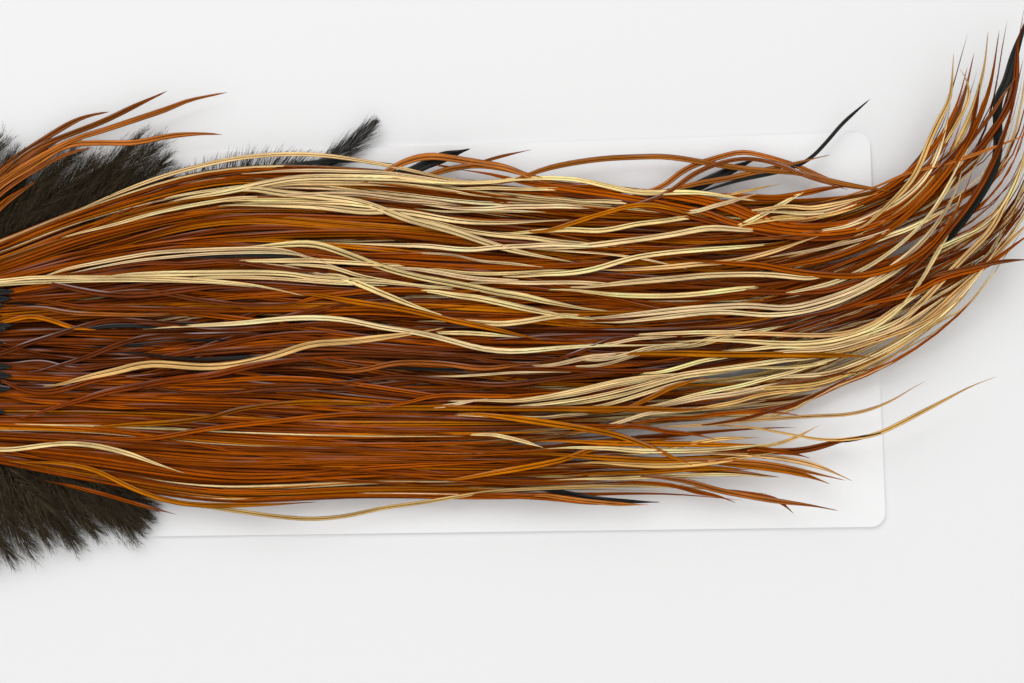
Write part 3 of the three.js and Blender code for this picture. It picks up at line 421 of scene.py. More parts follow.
FAN_HACKLES = (
    Drawn(Tone.STRAW, 2.0, ((172, 27), (183, 37), (187, 43), (190, 50), (193, 56), (196, 62), (197.5, 74))),
    Drawn(Tone.STRAW, 1.2, ((192, 46), (199, 57), (201, 62), (200.7, 66), (198.8, 69.7))),
    Drawn(Tone.BROWN, 2.0, ((190, 40), (200, 50), (202, 56), (203.5, 62), (204, 65.5))),
    Drawn(Tone.RUSSET, 1.4, ((190, 38), (199, 47), (203, 52), (207, 57), (211, 63), (215, 68))),
    Drawn(Tone.BROWN, 2.2, ((192, 36), (203, 47), (207, 52), (211, 58), (213.5, 65), (215, 78), (218, 83))),
    Drawn(Tone.TAWNY, 1.4, ((162, 34), (175, 37.5), (182, 40.5), (190, 42.5), (200, 45), (214, 50),
        (220, 52))),
    Drawn(Tone.CREAM, 2.2, ((158, -5), (170, -4), (178, 2), (185, 10), (190, 18), (194, 25), (198, 36))),
    Drawn(Tone.STRAW, 2.2, ((160, -5), (175, -3), (185, 5), (192, 12), (198, 18), (205, 25), (209, 32),
        (213, 40), (216, 50))),
    Drawn(Tone.CREAM, 2.0, ((182, 16), (195, 22), (202, 25), (207, 29), (211, 35), (214, 42), (216, 50))),
    Drawn(Tone.STRAW, 2.0, ((176, -6), (188, 2), (195, 8), (203, 15), (210, 22), (217, 28))),
    Drawn(Tone.RUST, 2.0, ((168, 5), (183, 8), (190, 11.5), (197, 13.5), (203, 15), (213, 22), (218, 25))),
    Drawn(Tone.RUSSET, 1.6, ((190, 13), (203, 15.5), (210, 16.5), (216, 16.5))),
    Drawn(Tone.CREAM, 2.2, ((150, 9), (164, 12), (176, 18), (187, 27), (195, 38), (201, 50), (205, 62))),
    Drawn(Tone.RUSSET, 2.2, ((140, 24), (158, 25), (172, 29), (184, 37), (193, 48), (199, 60), (203, 74))),
    Drawn(Tone.RUST, 2.2, ((144, 16), (160, 18), (174, 23), (187, 33), (198, 46), (206, 62), (210, 80))),
    Drawn(Tone.BROWN, 2.0, ((150, 2), (166, 5), (180, 12), (192, 23), (203, 37), (211, 54), (216, 72))),
    Drawn(Tone.RUST, 2.0, ((148, 28), (164, 31), (178, 37), (190, 47), (197, 58), (201, 70))),
    Drawn(Tone.STRAW, 2.0, ((156, 20), (170, 24), (182, 31), (192, 41), (200, 54), (205, 68), (207, 80))),
)
BLACK_HACKLES = (
    Drawn(Tone.BLACK, 4.2, ((46, 44.6), (51, 47), (56, 49), (60, 50.2), (65, 51.6)), lift=-1.5),
    Drawn(Tone.BLACK, 3.8, ((122, 36.6), (127.5, 39.3), (134.3, 42.6), (139, 44.6), (143.6, 46.4)),
        lift=-1.5),
    Drawn(Tone.BLACK, 2.0, ((84, -42.6), (96, -45), (106, -46.2), (115, -46.5)), lift=-0.6),
    Drawn(Tone.BLACK, 1.7, ((161, -31.0), (166, -30.6), (170, -30.0), (174, -29.0))),
    Drawn(Tone.BLACK, 1.8, ((-18, 44.4), (-8, 45.9), (2, 47.1), (12, 48.2), (24, 49.3), (33, 49.2)), False,
        -0.8),
    # This thin black strand, sunk into the bundle, stands in for a dark gap between the hackles: painted
    # shade.
    Drawn(Tone.BLACK, 1.4, ((-42, 21.6), (-20, 23.2), (0, 23.3), (12, 22.8), (20, 21.4)), False, -0.8),
    Drawn(Tone.BLACK, 1.7, ((-46, 3.4), (-36, 4.5), (-24, 4.2), (-14, 4.3)), False, -0.9),
    Drawn(Tone.BLACK, 1.6, ((-72, 10), (-66, 11.4), (-58, 10.8), (-50, 8.6)), False, -0.9),
    Drawn(Tone.BLACK, 1.5, ((-30, -3), (-18, -4.8), (-8, -5.4), (2, -5)), False, -0.8),
    Drawn(Tone.BLACK, 1.5, ((44, -9), (50, -9.3), (57, -9.7), (66, -9.4)), False, -0.9),
    Drawn(Tone.BLACK, 1.4, ((-40, -1.4), (-28, -1), (-16, -0.2), (-4, -0.4)), False, -0.9),
)
STRAY_HACKLES = {
    "stray_rust_hackle_1": (
        Drawn(Tone.TAWNY, 2.1, ((-110, 20), (-96, 26), (-82, 36), (-69, 46.6), (-50, 57), (-40, 60),
            (-30, 63), (-20, 66), (-15, 68), (-3.5, 70))),
        Drawn(Tone.RUSSET, 2.0, ((-106, 22), (-94, 28), (-82, 37), (-69, 48), (-60, 55), (-50, 59),
            (-40, 62.5), (-30, 67), (-20.7, 71))),
        Drawn(Tone.RUSSET, 2.4, ((-104, 23), (-92, 30), (-80, 40), (-69, 50), (-60, 56), (-50, 62),
            (-44, 64.5), (-37.5, 65.5))),
    ),
    "stray_rust_hackle_2": (
        Drawn(Tone.RUSSET, 1.7, ((-104, 19), (-88, 27), (-74, 37.5), (-69, 42.5), (-60, 48.6), (-50, 53.6),
            (-42, 55.4))),
        Drawn(Tone.RUSSET, 2.1, ((-104, 20), (-90, 27), (-78, 36), (-69, 45.6), (-62, 52), (-54, 57),
            (-47, 59.6))),
        Drawn(Tone.RUSSET, 1.8, ((-100, 19), (-86, 26), (-74, 34), (-66, 41), (-58, 46.4))),
        Drawn(Tone.TAWNY, 2.0, ((-98, 22), (-84, 31), (-69, 44.7), (-60, 50), (-50, 56), (-40, 56.6),
            (-30, 56.3), (-20, 58), (-10, 58.3), (-4.8, 57.8))),
    ),
    "stray_rust_hackle_3": (
        Drawn(Tone.TAWNY, 2.1, ((74, 41.4), (79, 43), (84, 44.8), (90, 46.2), (100, 47.5), (110, 47.8),
            (120, 47.5), (135, 44.5), (145, 43), (155, 42), (165, 39), (180, 36))),
    ),
    "black_thin_feather": (
        Drawn(Tone.BLACK, 1.4, ((126, 37), (137.7, 40.3), (147, 42), (153, 43.5), (158, 46), (163, 51),
            (167, 55.5), (174.7, 62))),
    ),
    "black_fan_feather": (
        Drawn(Tone.BLACK, 3.1, ((190, 19), (195, 24), (199, 29), (203, 35), (206, 40), (208, 47),
            (208.5, 60), (211, 65), (214, 74), (218, 84)), lift=-0.9),
    ),
}


def slot_of(node: str) -> str:
    """Finds the material slot that the record gives one of the frame's nodes."""
    return next(part["material_slot"] for part in frame["record"]["subparts"] if part["node"] == node)


def clear_selection() -> None:
    """Leaves edit mode and deselects every object."""
    if bpy.context.object and bpy.context.object.mode != "OBJECT":
        bpy.ops.object.mode_set(mode="OBJECT")
    bpy.ops.object.select_all(action="DESELECT")


def smooth_through(points: np.ndarray, at: np.ndarray) -> np.ndarray:
    """Runs a smooth curve through points that stand at 0, 1, 2 and so on.

    Args:
        points: the points, one a row, of any further shape.
        at: the places wanted on the curve.

    Returns:
        One row for each place.
    """
    last = len(points) - 1
    low = np.clip(np.floor(at).astype(int), 0, last - 1)
    part = (at - low).reshape((-1,) + (1,) * (points.ndim - 1))
    padded = np.concatenate([[2 * points[0] - points[1]], points, [2 * points[-1] - points[-2]]])
    before, here, there, after = (padded[low + step] for step in range(4))
    slope = there - before
    next_slope = after - here
    return (
        here + 0.5 * slope * part
        + (3 * (there - here) - slope - 0.5 * next_slope) * part ** 2
        + (2 * (here - there) + 0.5 * (slope + next_slope)) * part ** 3
    )


@dataclass
class Bundle:
    """The space that the long feathers fill, by line, station and layer."""

    lines: np.ndarray
    underside: np.ndarray
    depth: np.ndarray

    def place(self, line: np.ndarray, station: np.ndarray, layer: np.ndarray,
              rise: np.ndarray) -> np.ndarray:
        """Finds points of the bundle.

        Args:
            line: places across the bundle, by line number.
            station: places along it, by station number.
            layer: the row that the feather lies in, 0 for the lowest.
            rise: the place within the layer, 0 at its underside and 1 at its top.

        Returns:
            One point a row, in metres.
        """
        along = smooth_through(self.lines, station)
        rows = np.arange(len(station))
        low = np.clip(np.floor(line).astype(int), 0, LAST_LINE - 1)
        part = (line - low)[:, None]
        ends = (2 * along[:, :1] - along[:, 1:2], along, 2 * along[:, -1:] - along[:, -2:-1])
        padded = np.concatenate(ends, axis=1)
        before, here, there, after = (padded[rows, low + step] for step in range(4))
        slope = 0.5 * (there - before)
        next_slope = 0.5 * (after - here)
        flat = (
            here + slope * part
            + (3 * (there - here) - 2 * slope - next_slope) * part ** 2
            + (2 * (here - there) + slope + next_slope) * part ** 3
        )
        stations = np.arange(LAST_STATION + 1)
        from_middle = line / LAST_LINE * 2 - 1
        pitch = np.interp(station, stations, self.depth) * (1 - EDGE_THINNING * from_middle ** 2)
        behind = np.maximum(0, FIRST_ROOT_X - flat[:, 0]) / ROW_STEP
        height = np.interp(station, stations, self.underside)
        height = height + pitch * (layer - behind) + rise * (pitch - LAYER_GAP)
        return np.column_stack([flat, height]) * MM


def saddle_bundle() -> Bundle:
    """Makes the bundle from the lines, with its stations first."""
    lines = np.array(FEATHER_LINES, float).transpose(1, 0, 2)
    return Bundle(lines, np.array(UNDERSIDE), np.array(LAYER_DEPTH))


@dataclass
class Shape:
    """A master mesh held as arrays: its points and the corners of its faces."""

    points: np.ndarray
    corners: np.ndarray
    starts: np.ndarray

    @staticmethod
    def taken_from(obj: bpy.types.Object) -> "Shape":
        """Reads an object's mesh and removes the object.

        Args:
            obj: a finished master.

        Returns:
            Its shape.
        """
        mesh = obj.data
        points = np.zeros(len(mesh.vertices) * 3)
        mesh.vertices.foreach_get("co", points)
        corners = np.zeros(len(mesh.loops), int)
        mesh.loops.foreach_get("vertex_index", corners)
        starts = np.zeros(len(mesh.polygons), int)
        mesh.polygons.foreach_get("loop_start", starts)
        bpy.data.objects.remove(obj)
        bpy.data.meshes.remove(mesh)
        return Shape(points.reshape(-1, 3), corners, starts)


def select_points(obj: bpy.types.Object, wanted: object) -> None:
    """Selects the points of a mesh in edit mode for which a test holds.

    Args:
        obj: the object in edit mode.
        wanted: a test that takes a point's place.
    """
    form = bmesh.from_edit_mesh(obj.data)
    bpy.ops.mesh.select_all(action="DESELECT")
    bpy.ops.mesh.select_mode(type="VERT")
    for point in form.verts:
        point.select_set(bool(wanted(point.co)))
    form.select_flush(True)
    bmesh.update_edit_mesh(obj.data)


@dataclass(frozen=True)
class FeatherMaster:
    """One narrow feather, a unit long and a unit wide each side of its stem, modelled once."""

    steps: int = 44
    strips: int = 6

    def build(self) -> Shape:
        """Models two rounded vanes with a groove for the stem, closed below and pointed at the tip.

        Returns:
            The feather's shape: x from 0 at the root to 1 at the tip, y from -1 to 1 across,
            z the height of the vanes.
        """
        clear_selection()
        bpy.ops.mesh.primitive_grid_add(x_subdivisions=self.steps, y_subdivisions=self.strips, size=2.0)
        obj = bpy.context.object
        bpy.ops.object.mode_set(mode="EDIT")
        select_points(obj, lambda co: 0.2 < abs(co.y) < 0.95)
        bpy.ops.transform.translate(value=(0.0, 0.0, 0.8))
        select_points(obj, lambda co: 0.5 < abs(co.y) < 0.95)
        bpy.ops.transform.translate(value=(0.0, 0.0, 0.2))
        bpy.ops.mesh.select_all(action="DESELECT")
        bpy.ops.mesh.select_mode(type="EDGE")
        form = bmesh.from_edit_mesh(obj.data)
        for edge in form.edges:
            edge.select_set(all(abs(point.co.y) > 0.99 for point in edge.verts))
        bmesh.update_edit_mesh(obj.data)
        bpy.ops.mesh.bridge_edge_loops()
        select_points(obj, lambda co: co.x < -0.99)
        bpy.ops.mesh.edge_face_add()
        select_points(obj, lambda co: co.x > 0.99)
        bpy.ops.mesh.merge(type="CENTER")
        bpy.ops.mesh.select_all(action="SELECT")
        bpy.ops.transform.translate(value=(1.0, 0.0, 0.0))
        bpy.ops.transform.resize(value=(0.5, 1.0, 1.0), center_override=(0.0, 0.0, 0.0))
        bpy.ops.mesh.normals_make_consistent(inside=False)
        bpy.ops.object.mode_set(mode="OBJECT")
        return Shape.taken_from(obj)


@dataclass(frozen=True)
class NeedleMaster:
    """One barb: a three-sided needle a unit long with a unit radius at its root."""

    cuts: int = 3

    def build(self) -> Shape:
        """Models the needle along x, with rings where it can bend.

        Returns:
            The needle's shape.
        """
        clear_selection()
        bpy.ops.mesh.primitive_cone_add(vertices=3, radius1=1.0, radius2=0.0, depth=1.0,
                                        location=(0, 0, 0.5))
        obj = bpy.context.object
        bpy.ops.object.transform_apply(location=True)
        bpy.ops.object.mode_set(mode="EDIT")
        for cut in range(1, self.cuts + 1):
            bpy.ops.mesh.select_all(action="SELECT")
            level = cut / (self.cuts + 1)
            bpy.ops.mesh.bisect(plane_co=(0.0, 0.0, level), plane_no=(0.0, 0.0, 1.0))
        bpy.ops.mesh.select_all(action="SELECT")
        bpy.ops.mesh.normals_make_consistent(inside=False)
        bpy.ops.object.mode_set(mode="OBJECT")
        shape = Shape.taken_from(obj)
        shape.points = shape.points[:, [2, 0, 1]]
        return shape


# How far up the master feather's groove the route runs, as a part of the vanes' height.
GROOVE_HEIGHT = 0.4


@dataclass
class Strand:
    """One feather as it lies: its route in metres, its width in millimetres, and its look."""

    route: np.ndarray
    width: float
    tone: Tone
    roll: float = 0.0
    sway: float = 0.0
    taper_from: float = 0.62
    root_width: float = 0.6
    root_length: float = 20.0
    crest: float = 0.17
    web_and_painted_shade_end: float = 0.14
    web_and_painted_shade_level: float = 0.55
    leaf: bool = False
    tip_width: float = 0.14


def ramp(values: np.ndarray, start: float, end: float) -> np.ndarray:
    """Rises smoothly from 0 to 1 between two values."""
    part = np.clip((values - start) / (end - start), 0, 1)
    return part * part * (3 - 2 * part)


def unit(vectors: np.ndarray) -> np.ndarray:
    """Scales each row to length 1."""
    return vectors / np.maximum(np.linalg.norm(vectors, axis=-1, keepdims=True), 1e-12)


@dataclass
class Plumage:
    """Lays copies of the master feather along routes and joins them in one mesh."""

    feather: Shape

    def laid(self, strand: Strand) -> tuple[np.ndarray, float]:
        """Bends the master feather along one route.

        Args:
            strand: the feather's route and widths.

        Returns:
            The points in metres, and the feather's length in millimetres.
        """
        steps = np.linalg.norm(np.diff(strand.route, axis=0), axis=1)
        along = np.concatenate([[0], np.cumsum(steps)])
        length = along[-1]
        part = self.feather.points[:, 0]
        across = self.feather.points[:, 1]
        height = self.feather.points[:, 2]
        at = part * length
        middle = np.column_stack([np.interp(at, along, strand.route[:, k]) for k in range(3)])
        ways = unit(np.gradient(strand.route, axis=0))
        way = unit(np.column_stack([np.interp(at, along, ways[:, k]) for k in range(3)]))
        side = unit(np.column_stack([-way[:, 1], way[:, 0], np.zeros(len(at))]))
        up = np.cross(way, side)
        roll = (strand.roll + strand.sway * np.sin(part * 7.0 + strand.roll * 7.0))[:, None]
        side, up = side * np.cos(roll) + up * np.sin(roll), up * np.cos(roll) - side * np.sin(roll)
        if strand.leaf:
            profile = np.sin(np.pi * np.clip(0.06 + part * 0.94, 0, 1)) ** 0.6
        else:
            full_from = min(0.45, strand.root_length * MM / length)
            profile = strand.root_width + (1 - strand.root_width) * ramp(part, 0, full_from)
            profile = profile * (1 - (1 - strand.tip_width) * ramp(part, strand.taper_from, 1.0))
        half = (strand.width / 2 * MM * profile)[:, None]
        raised = up * (height[:, None] - GROOVE_HEIGHT) * half * 2 * strand.crest
        return middle + side * across[:, None] * half + raised, length / MM

    def joined(self, name: str, strands: list[Strand], rng: np.random.Generator) -> bpy.types.Object:
        """Makes one mesh of many feathers, with their colours and their maps.

        Args:
            name: the piece's name.
            strands: the feathers.
            rng: the source of each feather's small differences in colour.

        Returns:
            The piece.
        """
        shape = self.feather
        part, across = shape.points[:, 0], shape.points[:, 1]
        count = len(strands)
        corner_part, corner_across = part[shape.corners], across[shape.corners]
        totals = np.diff(np.append(shape.starts, len(shape.corners)))
        spread = np.maximum.reduceat(corner_across, shape.starts)
        spread = spread - np.minimum.reduceat(corner_across, shape.starts)
        below = np.repeat(spread > 1.5, totals)
        strip = np.where(below, 0.72 + 0.115 * (corner_across + 1), 0.04 + 0.31 * (corner_across + 1))
        points, tints, vane, bake = [], [], [], []
        for index, strand in enumerate(strands):
            laid, length = self.laid(strand)
            points.append(laid)
            tints.append(self.tints(strand, part, rng))
            shift = rng.uniform(0, 50)
            lean = rng.uniform(-0.28, 0.28) * (1 - corner_across ** 2)
            vane.append(np.column_stack([corner_part * length + shift, corner_across + lean]))
            bake.append(np.column_stack([0.01 + 0.98 * corner_part, (index + strip) / count]))
        return joined_mesh(name, shape, np.array(points), np.array(tints), {"Vane": vane, "OFBake": bake})

    def tints(self, strand: Strand, part: np.ndarray, rng: np.random.Generator) -> np.ndarray:
        """Colours one feather along its length.

        Args:
            strand: the feather.
            part: how far along the feather each point is.
            rng: the source of its differences.

        Returns:
            A colour for each point.
        """
        *colour, painted_glint_amount = TONE_COLOURS[strand.tone]
        darkest = 0.9 if strand.tone in (Tone.CREAM, Tone.STRAW) else 0.74
        base = np.array(colour) * rng.uniform(darkest, 1.2)
        base = base * np.array([1.0, rng.uniform(0.95, 1.05), rng.uniform(0.85, 1.1)])
        wave = 1 + 0.13 * np.sin(part * rng.uniform(6, 22) + rng.uniform(0, 6.3))
        wave = wave + 0.07 * np.sin(part * rng.uniform(30, 60) + rng.uniform(0, 6.3))
        # Darker towards the root: partly the webby base, partly painted shade under the feathers above.
        web_and_painted_shade = strand.web_and_painted_shade_level + (1 - strand.web_and_painted_shade_level) * ramp(part, strand.web_and_painted_shade_end - 0.14, strand.web_and_painted_shade_end)
        colours = base[None, :] * (wave * web_and_painted_shade)[:, None]
        # The alpha carries the tone's share of painted highlight.
        return np.column_stack([np.clip(colours, 0, 1), np.full(len(part), painted_glint_amount)])


def new_mesh(name: str, points: np.ndarray, corners: np.ndarray, starts: np.ndarray) -> bpy.types.Mesh:
    """Makes a mesh with smooth faces.

    Args:
        name: its name.
        points: its points, one a row, in metres.
        corners: the point at each corner of each face.
        starts: the first corner of each face.

    Returns:
        The mesh.
    """
    mesh = bpy.data.meshes.new(name)
    mesh.vertices.add(len(points))
    mesh.vertices.foreach_set("co", points.ravel().astype(np.float32))
    mesh.loops.add(len(corners))
    mesh.loops.foreach_set("vertex_index", corners.astype(np.int32))
    mesh.polygons.add(len(starts))
    mesh.polygons.foreach_set("loop_start", starts.astype(np.int32))
    mesh.polygons.foreach_set("use_smooth", np.ones(len(starts), bool))
    return mesh


def placed(name: str, mesh: bpy.types.Mesh) -> bpy.types.Object:
    """Finds a new mesh's edges and links an object that holds it to the scene."""
    mesh.update(calc_edges=True)
    obj = bpy.data.objects.new(name, mesh)
    bpy.context.scene.collection.objects.link(obj)
    return obj


def joined_mesh(name: str, shape: Shape, points: np.ndarray, tints: np.ndarray,
                maps: dict) -> bpy.types.Object:
    """Joins laid copies of a master in one object.

    Args:
        name: the piece's name.
        shape: the master.
        points: the points of each copy, in metres.
        tints: the colour of each point of each copy.
        maps: for each UV map's name, the corners of each copy.

    Returns:
        The object, linked to the scene.
    """
    count, size = points.shape[:2]
    copies = np.arange(count)[:, None]
    corners = (copies * size + shape.corners).ravel()
    starts = (copies * len(shape.corners) + shape.starts).ravel()
    mesh = new_mesh(name, points.reshape(-1, 3), corners, starts)
    for map_name, map_corners in maps.items():
        layer = mesh.uv_layers.new(name=map_name)
        layer.data.foreach_set("uv", np.concatenate(map_corners).ravel().astype(np.float32))
    colour = mesh.color_attributes.new(name="tint", type="FLOAT_COLOR", domain="POINT")
    colour.data.foreach_set("color", tints.ravel().astype(np.float32))
    return placed(name, mesh)


class Nodes:
    """A short way to write a material's nodes."""

    def __init__(self, name: str) -> None:
        """Makes an empty material with a surface shader and an output."""
        self.material = bpy.data.materials.new(name)
        self.material.use_nodes = True
        self.tree = self.material.node_tree
        self.shader = self.tree.nodes["Principled BSDF"]

    def add(self, kind: str, **settings: object) -> bpy.types.Node:
        """Adds a node and sets its properties."""
        node = self.tree.nodes.new(kind)
        for key, value in settings.items():
            setattr(node, key, value)
        return node

    def math(self, operation: str, first: object, second: object = 0.0,
             third: object = 0.0) -> bpy.types.NodeSocket:
        """Adds a math node on sockets or numbers and gives its result."""
        node = self.add("ShaderNodeMath", operation=operation)
        for socket, value in zip(node.inputs, (first, second, third)):
            self.feed(socket, value)
        return node.outputs[0]

    def feed(self, socket: bpy.types.NodeSocket, value: object) -> None:
        """Links a socket to another, or sets its number or colour."""
        if isinstance(value, bpy.types.NodeSocket):
            self.tree.links.new(value, socket)
        else:
            socket.default_value = value

    def ramp(self, value: bpy.types.NodeSocket, start: float, end: float) -> bpy.types.NodeSocket:
        """Maps a value smoothly from 0 at one place to 1 at another."""
        node = self.add("ShaderNodeMapRange", interpolation_type="SMOOTHSTEP")
        self.feed(node.inputs["Value"], value)
        node.inputs["From Min"].default_value = start
        node.inputs["From Max"].default_value = end
        return node.outputs["Result"]

    def mix(self, factor: object, first: object, second: object, blend: str = "MIX") -> bpy.types.NodeSocket:
        """Mixes two colours."""
        node = self.add("ShaderNodeMix", data_type="RGBA", blend_type=blend)
        self.feed(node.inputs["Factor"], factor)
        self.feed(node.inputs[6], first)
        self.feed(node.inputs[7], second)
        return node.outputs[2]

    def noise(self, vector: bpy.types.NodeSocket, scale: float, detail: float = 2.0) -> bpy.types.NodeSocket:
        """Adds a noise pattern and gives its value."""
        node = self.add("ShaderNodeTexNoise")
        self.feed(node.inputs["Vector"], vector)
        node.inputs["Scale"].default_value = scale
        node.inputs["Detail"].default_value = detail
        return node.outputs["Fac"]

    def bump(self, height: bpy.types.NodeSocket, strength: float, distance: float) -> None:
        """Gives the surface a bump from a pattern's height."""
        node = self.add("ShaderNodeBump")
        node.inputs["Strength"].default_value = strength
        node.inputs["Distance"].default_value = distance
        self.feed(node.inputs["Height"], height)
        self.feed(self.shader.inputs["Normal"], node.outputs["Normal"])


@dataclass(frozen=True)
class VaneFinish:
    """The vane of a feather: fine slanting barbs each side of a dark stem line, with painted shade in the
    stem's groove and along the vanes' edges, and a painted highlight along one edge.
    """

    name: str = "feather_vane"
    roughness: float = 0.42
    barb_slant: float = 3.6
    barb_spacing: float = 0.7
    stem_width: float = 0.2
    stem_and_groove_shade: float = 0.12
    painted_glint: float = 2.8
    specular: float = 0.02
    streak_shades: tuple = ((0.78, 0.74, 0.7, 1), (1.1, 1.09, 1.08, 1))
    line_shades: tuple = ((0.5, 0.46, 0.42, 1), (1.1, 1.1, 1.1, 1))
    painted_edge_shade_colour: tuple[float, float, float, float] = (0.02, 0.01, 0.005, 1)
    painted_glint_colour: tuple[float, float, float, float] = (0.42, 0.34, 0.33, 1)
    most_painted_glint: float = 0.3

    def material(self) -> bpy.types.Material:
        """Builds the material, whose pattern follows the feather's own map.

        Returns:
            The material.
        """
        nodes = Nodes(self.name)
        attribute = nodes.add("ShaderNodeAttribute", attribute_name="tint")
        tint = attribute.outputs["Color"]
        uv = nodes.add("ShaderNodeUVMap", uv_map="Vane").outputs["UV"]
        parts = nodes.add("ShaderNodeSeparateXYZ")
        nodes.feed(parts.inputs[0], uv)
        from_stem = nodes.math("ABSOLUTE", parts.outputs["Y"])
        slanted = nodes.math("MULTIPLY_ADD", from_stem, -self.barb_slant, parts.outputs["X"])
        place = nodes.add("ShaderNodeCombineXYZ")
        nodes.feed(place.inputs[0], nodes.math("DIVIDE", slanted, self.barb_spacing))
        nodes.feed(place.inputs[1], nodes.math("MULTIPLY", from_stem, 0.35))
        barbs = nodes.noise(place.outputs[0], 1.0, 3.0)
        streaks = nodes.ramp(barbs, 0.3, 0.7)
        shade = nodes.mix(streaks, *self.streak_shades)
        coloured = nodes.mix(1.0, tint, shade, "MULTIPLY")
        line_place = nodes.add("ShaderNodeCombineXYZ")
        nodes.feed(line_place.inputs[0], nodes.math("MULTIPLY", parts.outputs["X"], 0.03))
        nodes.feed(line_place.inputs[1], nodes.math("MULTIPLY", parts.outputs["Y"], 3.4))
        lines = nodes.ramp(nodes.noise(line_place.outputs[0], 1.0, 2.0), 0.36, 0.56)
        coloured = nodes.mix(1.0, coloured, nodes.mix(lines, *self.line_shades), "MULTIPLY")
        # Painted shade: each vane is darkened towards its outer edge.
        edge = nodes.ramp(from_stem, 0.8, 1.0)
        edged = nodes.mix(nodes.math("MULTIPLY", edge, 0.6), coloured, self.painted_edge_shade_colour)
        # Painted highlight: a pale streak along the upper edge of each vane, broken into dashes, strongest
        # on the tones with the most painted glint.
        painted_glint_share = nodes.math("MINIMUM", attribute.outputs["Alpha"], self.most_painted_glint)
        painted_glint = nodes.math("MULTIPLY", nodes.ramp(parts.outputs["Y"], 0.45, 0.85), painted_glint_share)
        broken = nodes.ramp(nodes.noise(uv, 0.045, 1.0), 0.45, 0.6)
        painted_glint = nodes.math("MULTIPLY", nodes.math("MULTIPLY", painted_glint, broken), self.painted_glint)
        edged = nodes.mix(painted_glint, edged, self.painted_glint_colour)
        # A narrow dark line down the middle: partly the stem's own colour, partly painted shade in the
        # groove that it lies in.
        stem = nodes.math("SUBTRACT", 1.0, nodes.ramp(from_stem, self.stem_width * 0.4, self.stem_width))
        darker = (self.stem_and_groove_shade, self.stem_and_groove_shade * 0.9, self.stem_and_groove_shade * 0.8, 1)
        stem_and_groove_colour = nodes.mix(1.0, tint, darker, "MULTIPLY")
        nodes.feed(nodes.shader.inputs["Base Color"], nodes.mix(stem, edged, stem_and_groove_colour))
        nodes.shader.inputs["Roughness"].default_value = self.roughness
        nodes.shader.inputs["Specular IOR Level"].default_value = self.specular
        nodes.bump(barbs, 0.35, 0.0002)
        return nodes.material


@dataclass(frozen=True)
class PlainFinish:
    """A dull surface with a fine grain: the card, the skin and the floor."""

    name: str
    colour: tuple[float, float, float]
    grain: float
    contrast: float
    roughness: float

    def material(self) -> bpy.types.Material:
        """Builds the material.

        Returns:
            The material.
        """
        nodes = Nodes(self.name)
        place = nodes.add("ShaderNodeTexCoord").outputs["Object"]
        grain = nodes.noise(place, self.grain, 4.0)
        dark = tuple(part * (1 - self.contrast) for part in self.colour) + (1,)
        nodes.feed(nodes.shader.inputs["Base Color"], nodes.mix(grain, dark, self.colour + (1,)))
        nodes.shader.inputs["Roughness"].default_value = self.roughness
        nodes.bump(grain, 0.12, 0.0002)
        return nodes.material


CARD_WHITE = PlainFinish("card_white", (0.88, 0.88, 0.88), 700.0, 0.03, 0.6)
DRIED_SKIN = PlainFinish("dried_skin", (0.36, 0.21, 0.11), 160.0, 0.5, 0.55)
FLOOR_WHITE = PlainFinish("floor_white", (0.825, 0.825, 0.825), 900.0, 0.02, 0.7)


@dataclass(frozen=True)
class Row:
    """One row of the long feathers: how many locks, feathers a lock, and the station of its tips."""

    locks: int
    feathers: int
    tip: float


ROWS = (Row(10, 14, 12.0), Row(10, 14, 11.5), Row(9, 17, 10.7), Row(8, 20, 9.8))
# How dark each row's feathers are at the root end, and how far along that runs: partly the dark webby base
# of a hackle, partly painted shade, darkest in the lowest rows that lie under the rest.
WEB_AND_PAINTED_SHADE_LEVELS = (0.24, 0.32, 0.5, 0.68)
WEB_AND_PAINTED_SHADE_ENDS = (0.55, 0.46, 0.34, 0.2)

# How often each tone comes, in the two upper rows and the two lower rows, by zone across the
# bundle. Each zone runs to the line that it names.
UPPER_TONES = (
    (0.8, {Tone.RUST: 6, Tone.AMBER: 2, Tone.BROWN: 3, Tone.CREAM: 0.9}),
    (2.5, {Tone.RUST: 7, Tone.AMBER: 2, Tone.BROWN: 2, Tone.CREAM: 0.5}),
    (3.8, {Tone.BROWN: 4, Tone.PLUM: 3, Tone.RUST: 3, Tone.AMBER: 0.5}),
    (4.9, {Tone.BROWN: 2, Tone.RUST: 5, Tone.AMBER: 1, Tone.PLUM: 1, Tone.STRAW: 0.4}),
    (7.1, {Tone.RUST: 7, Tone.AMBER: 1.5, Tone.BROWN: 2, Tone.CREAM: 0.5}),
)
LOWER_TONES = (
    (0.8, {Tone.RUST: 5, Tone.STRAW: 2, Tone.AMBER: 2, Tone.BROWN: 2}),
    (2.5, {Tone.RUST: 5, Tone.BROWN: 2.5, Tone.CREAM: 3, Tone.AMBER: 1}),
    (3.2, {Tone.RUST: 4, Tone.BROWN: 3, Tone.CREAM: 4}),
    (4.7, {Tone.CREAM: 8, Tone.STRAW: 3, Tone.RUST: 0.8}),
    (7.1, {Tone.RUST: 5, Tone.CREAM: 3, Tone.STRAW: 2, Tone.BROWN: 1}),
)


@dataclass(frozen=True)
class Stop:
    """Where some of the long feathers end: by a station, or up to so many stations earlier."""

    station: float
    earlier: float


# The lower rows' tips come past this station, the upper rows' tips don't.
LOWER_ROW_TIP = 11.0
# The lower rows are thinned between these lines, and the feathers taken back end here.
THINNED_LINES = (3.1, 5.3)
THINNED_STOP = Stop(8.3, 1.6)
# Below this line the upper rows end early.
UPPER_ROW_LINE = 3.2
UPPER_ROW_STOP = Stop(8.8, 1.5)
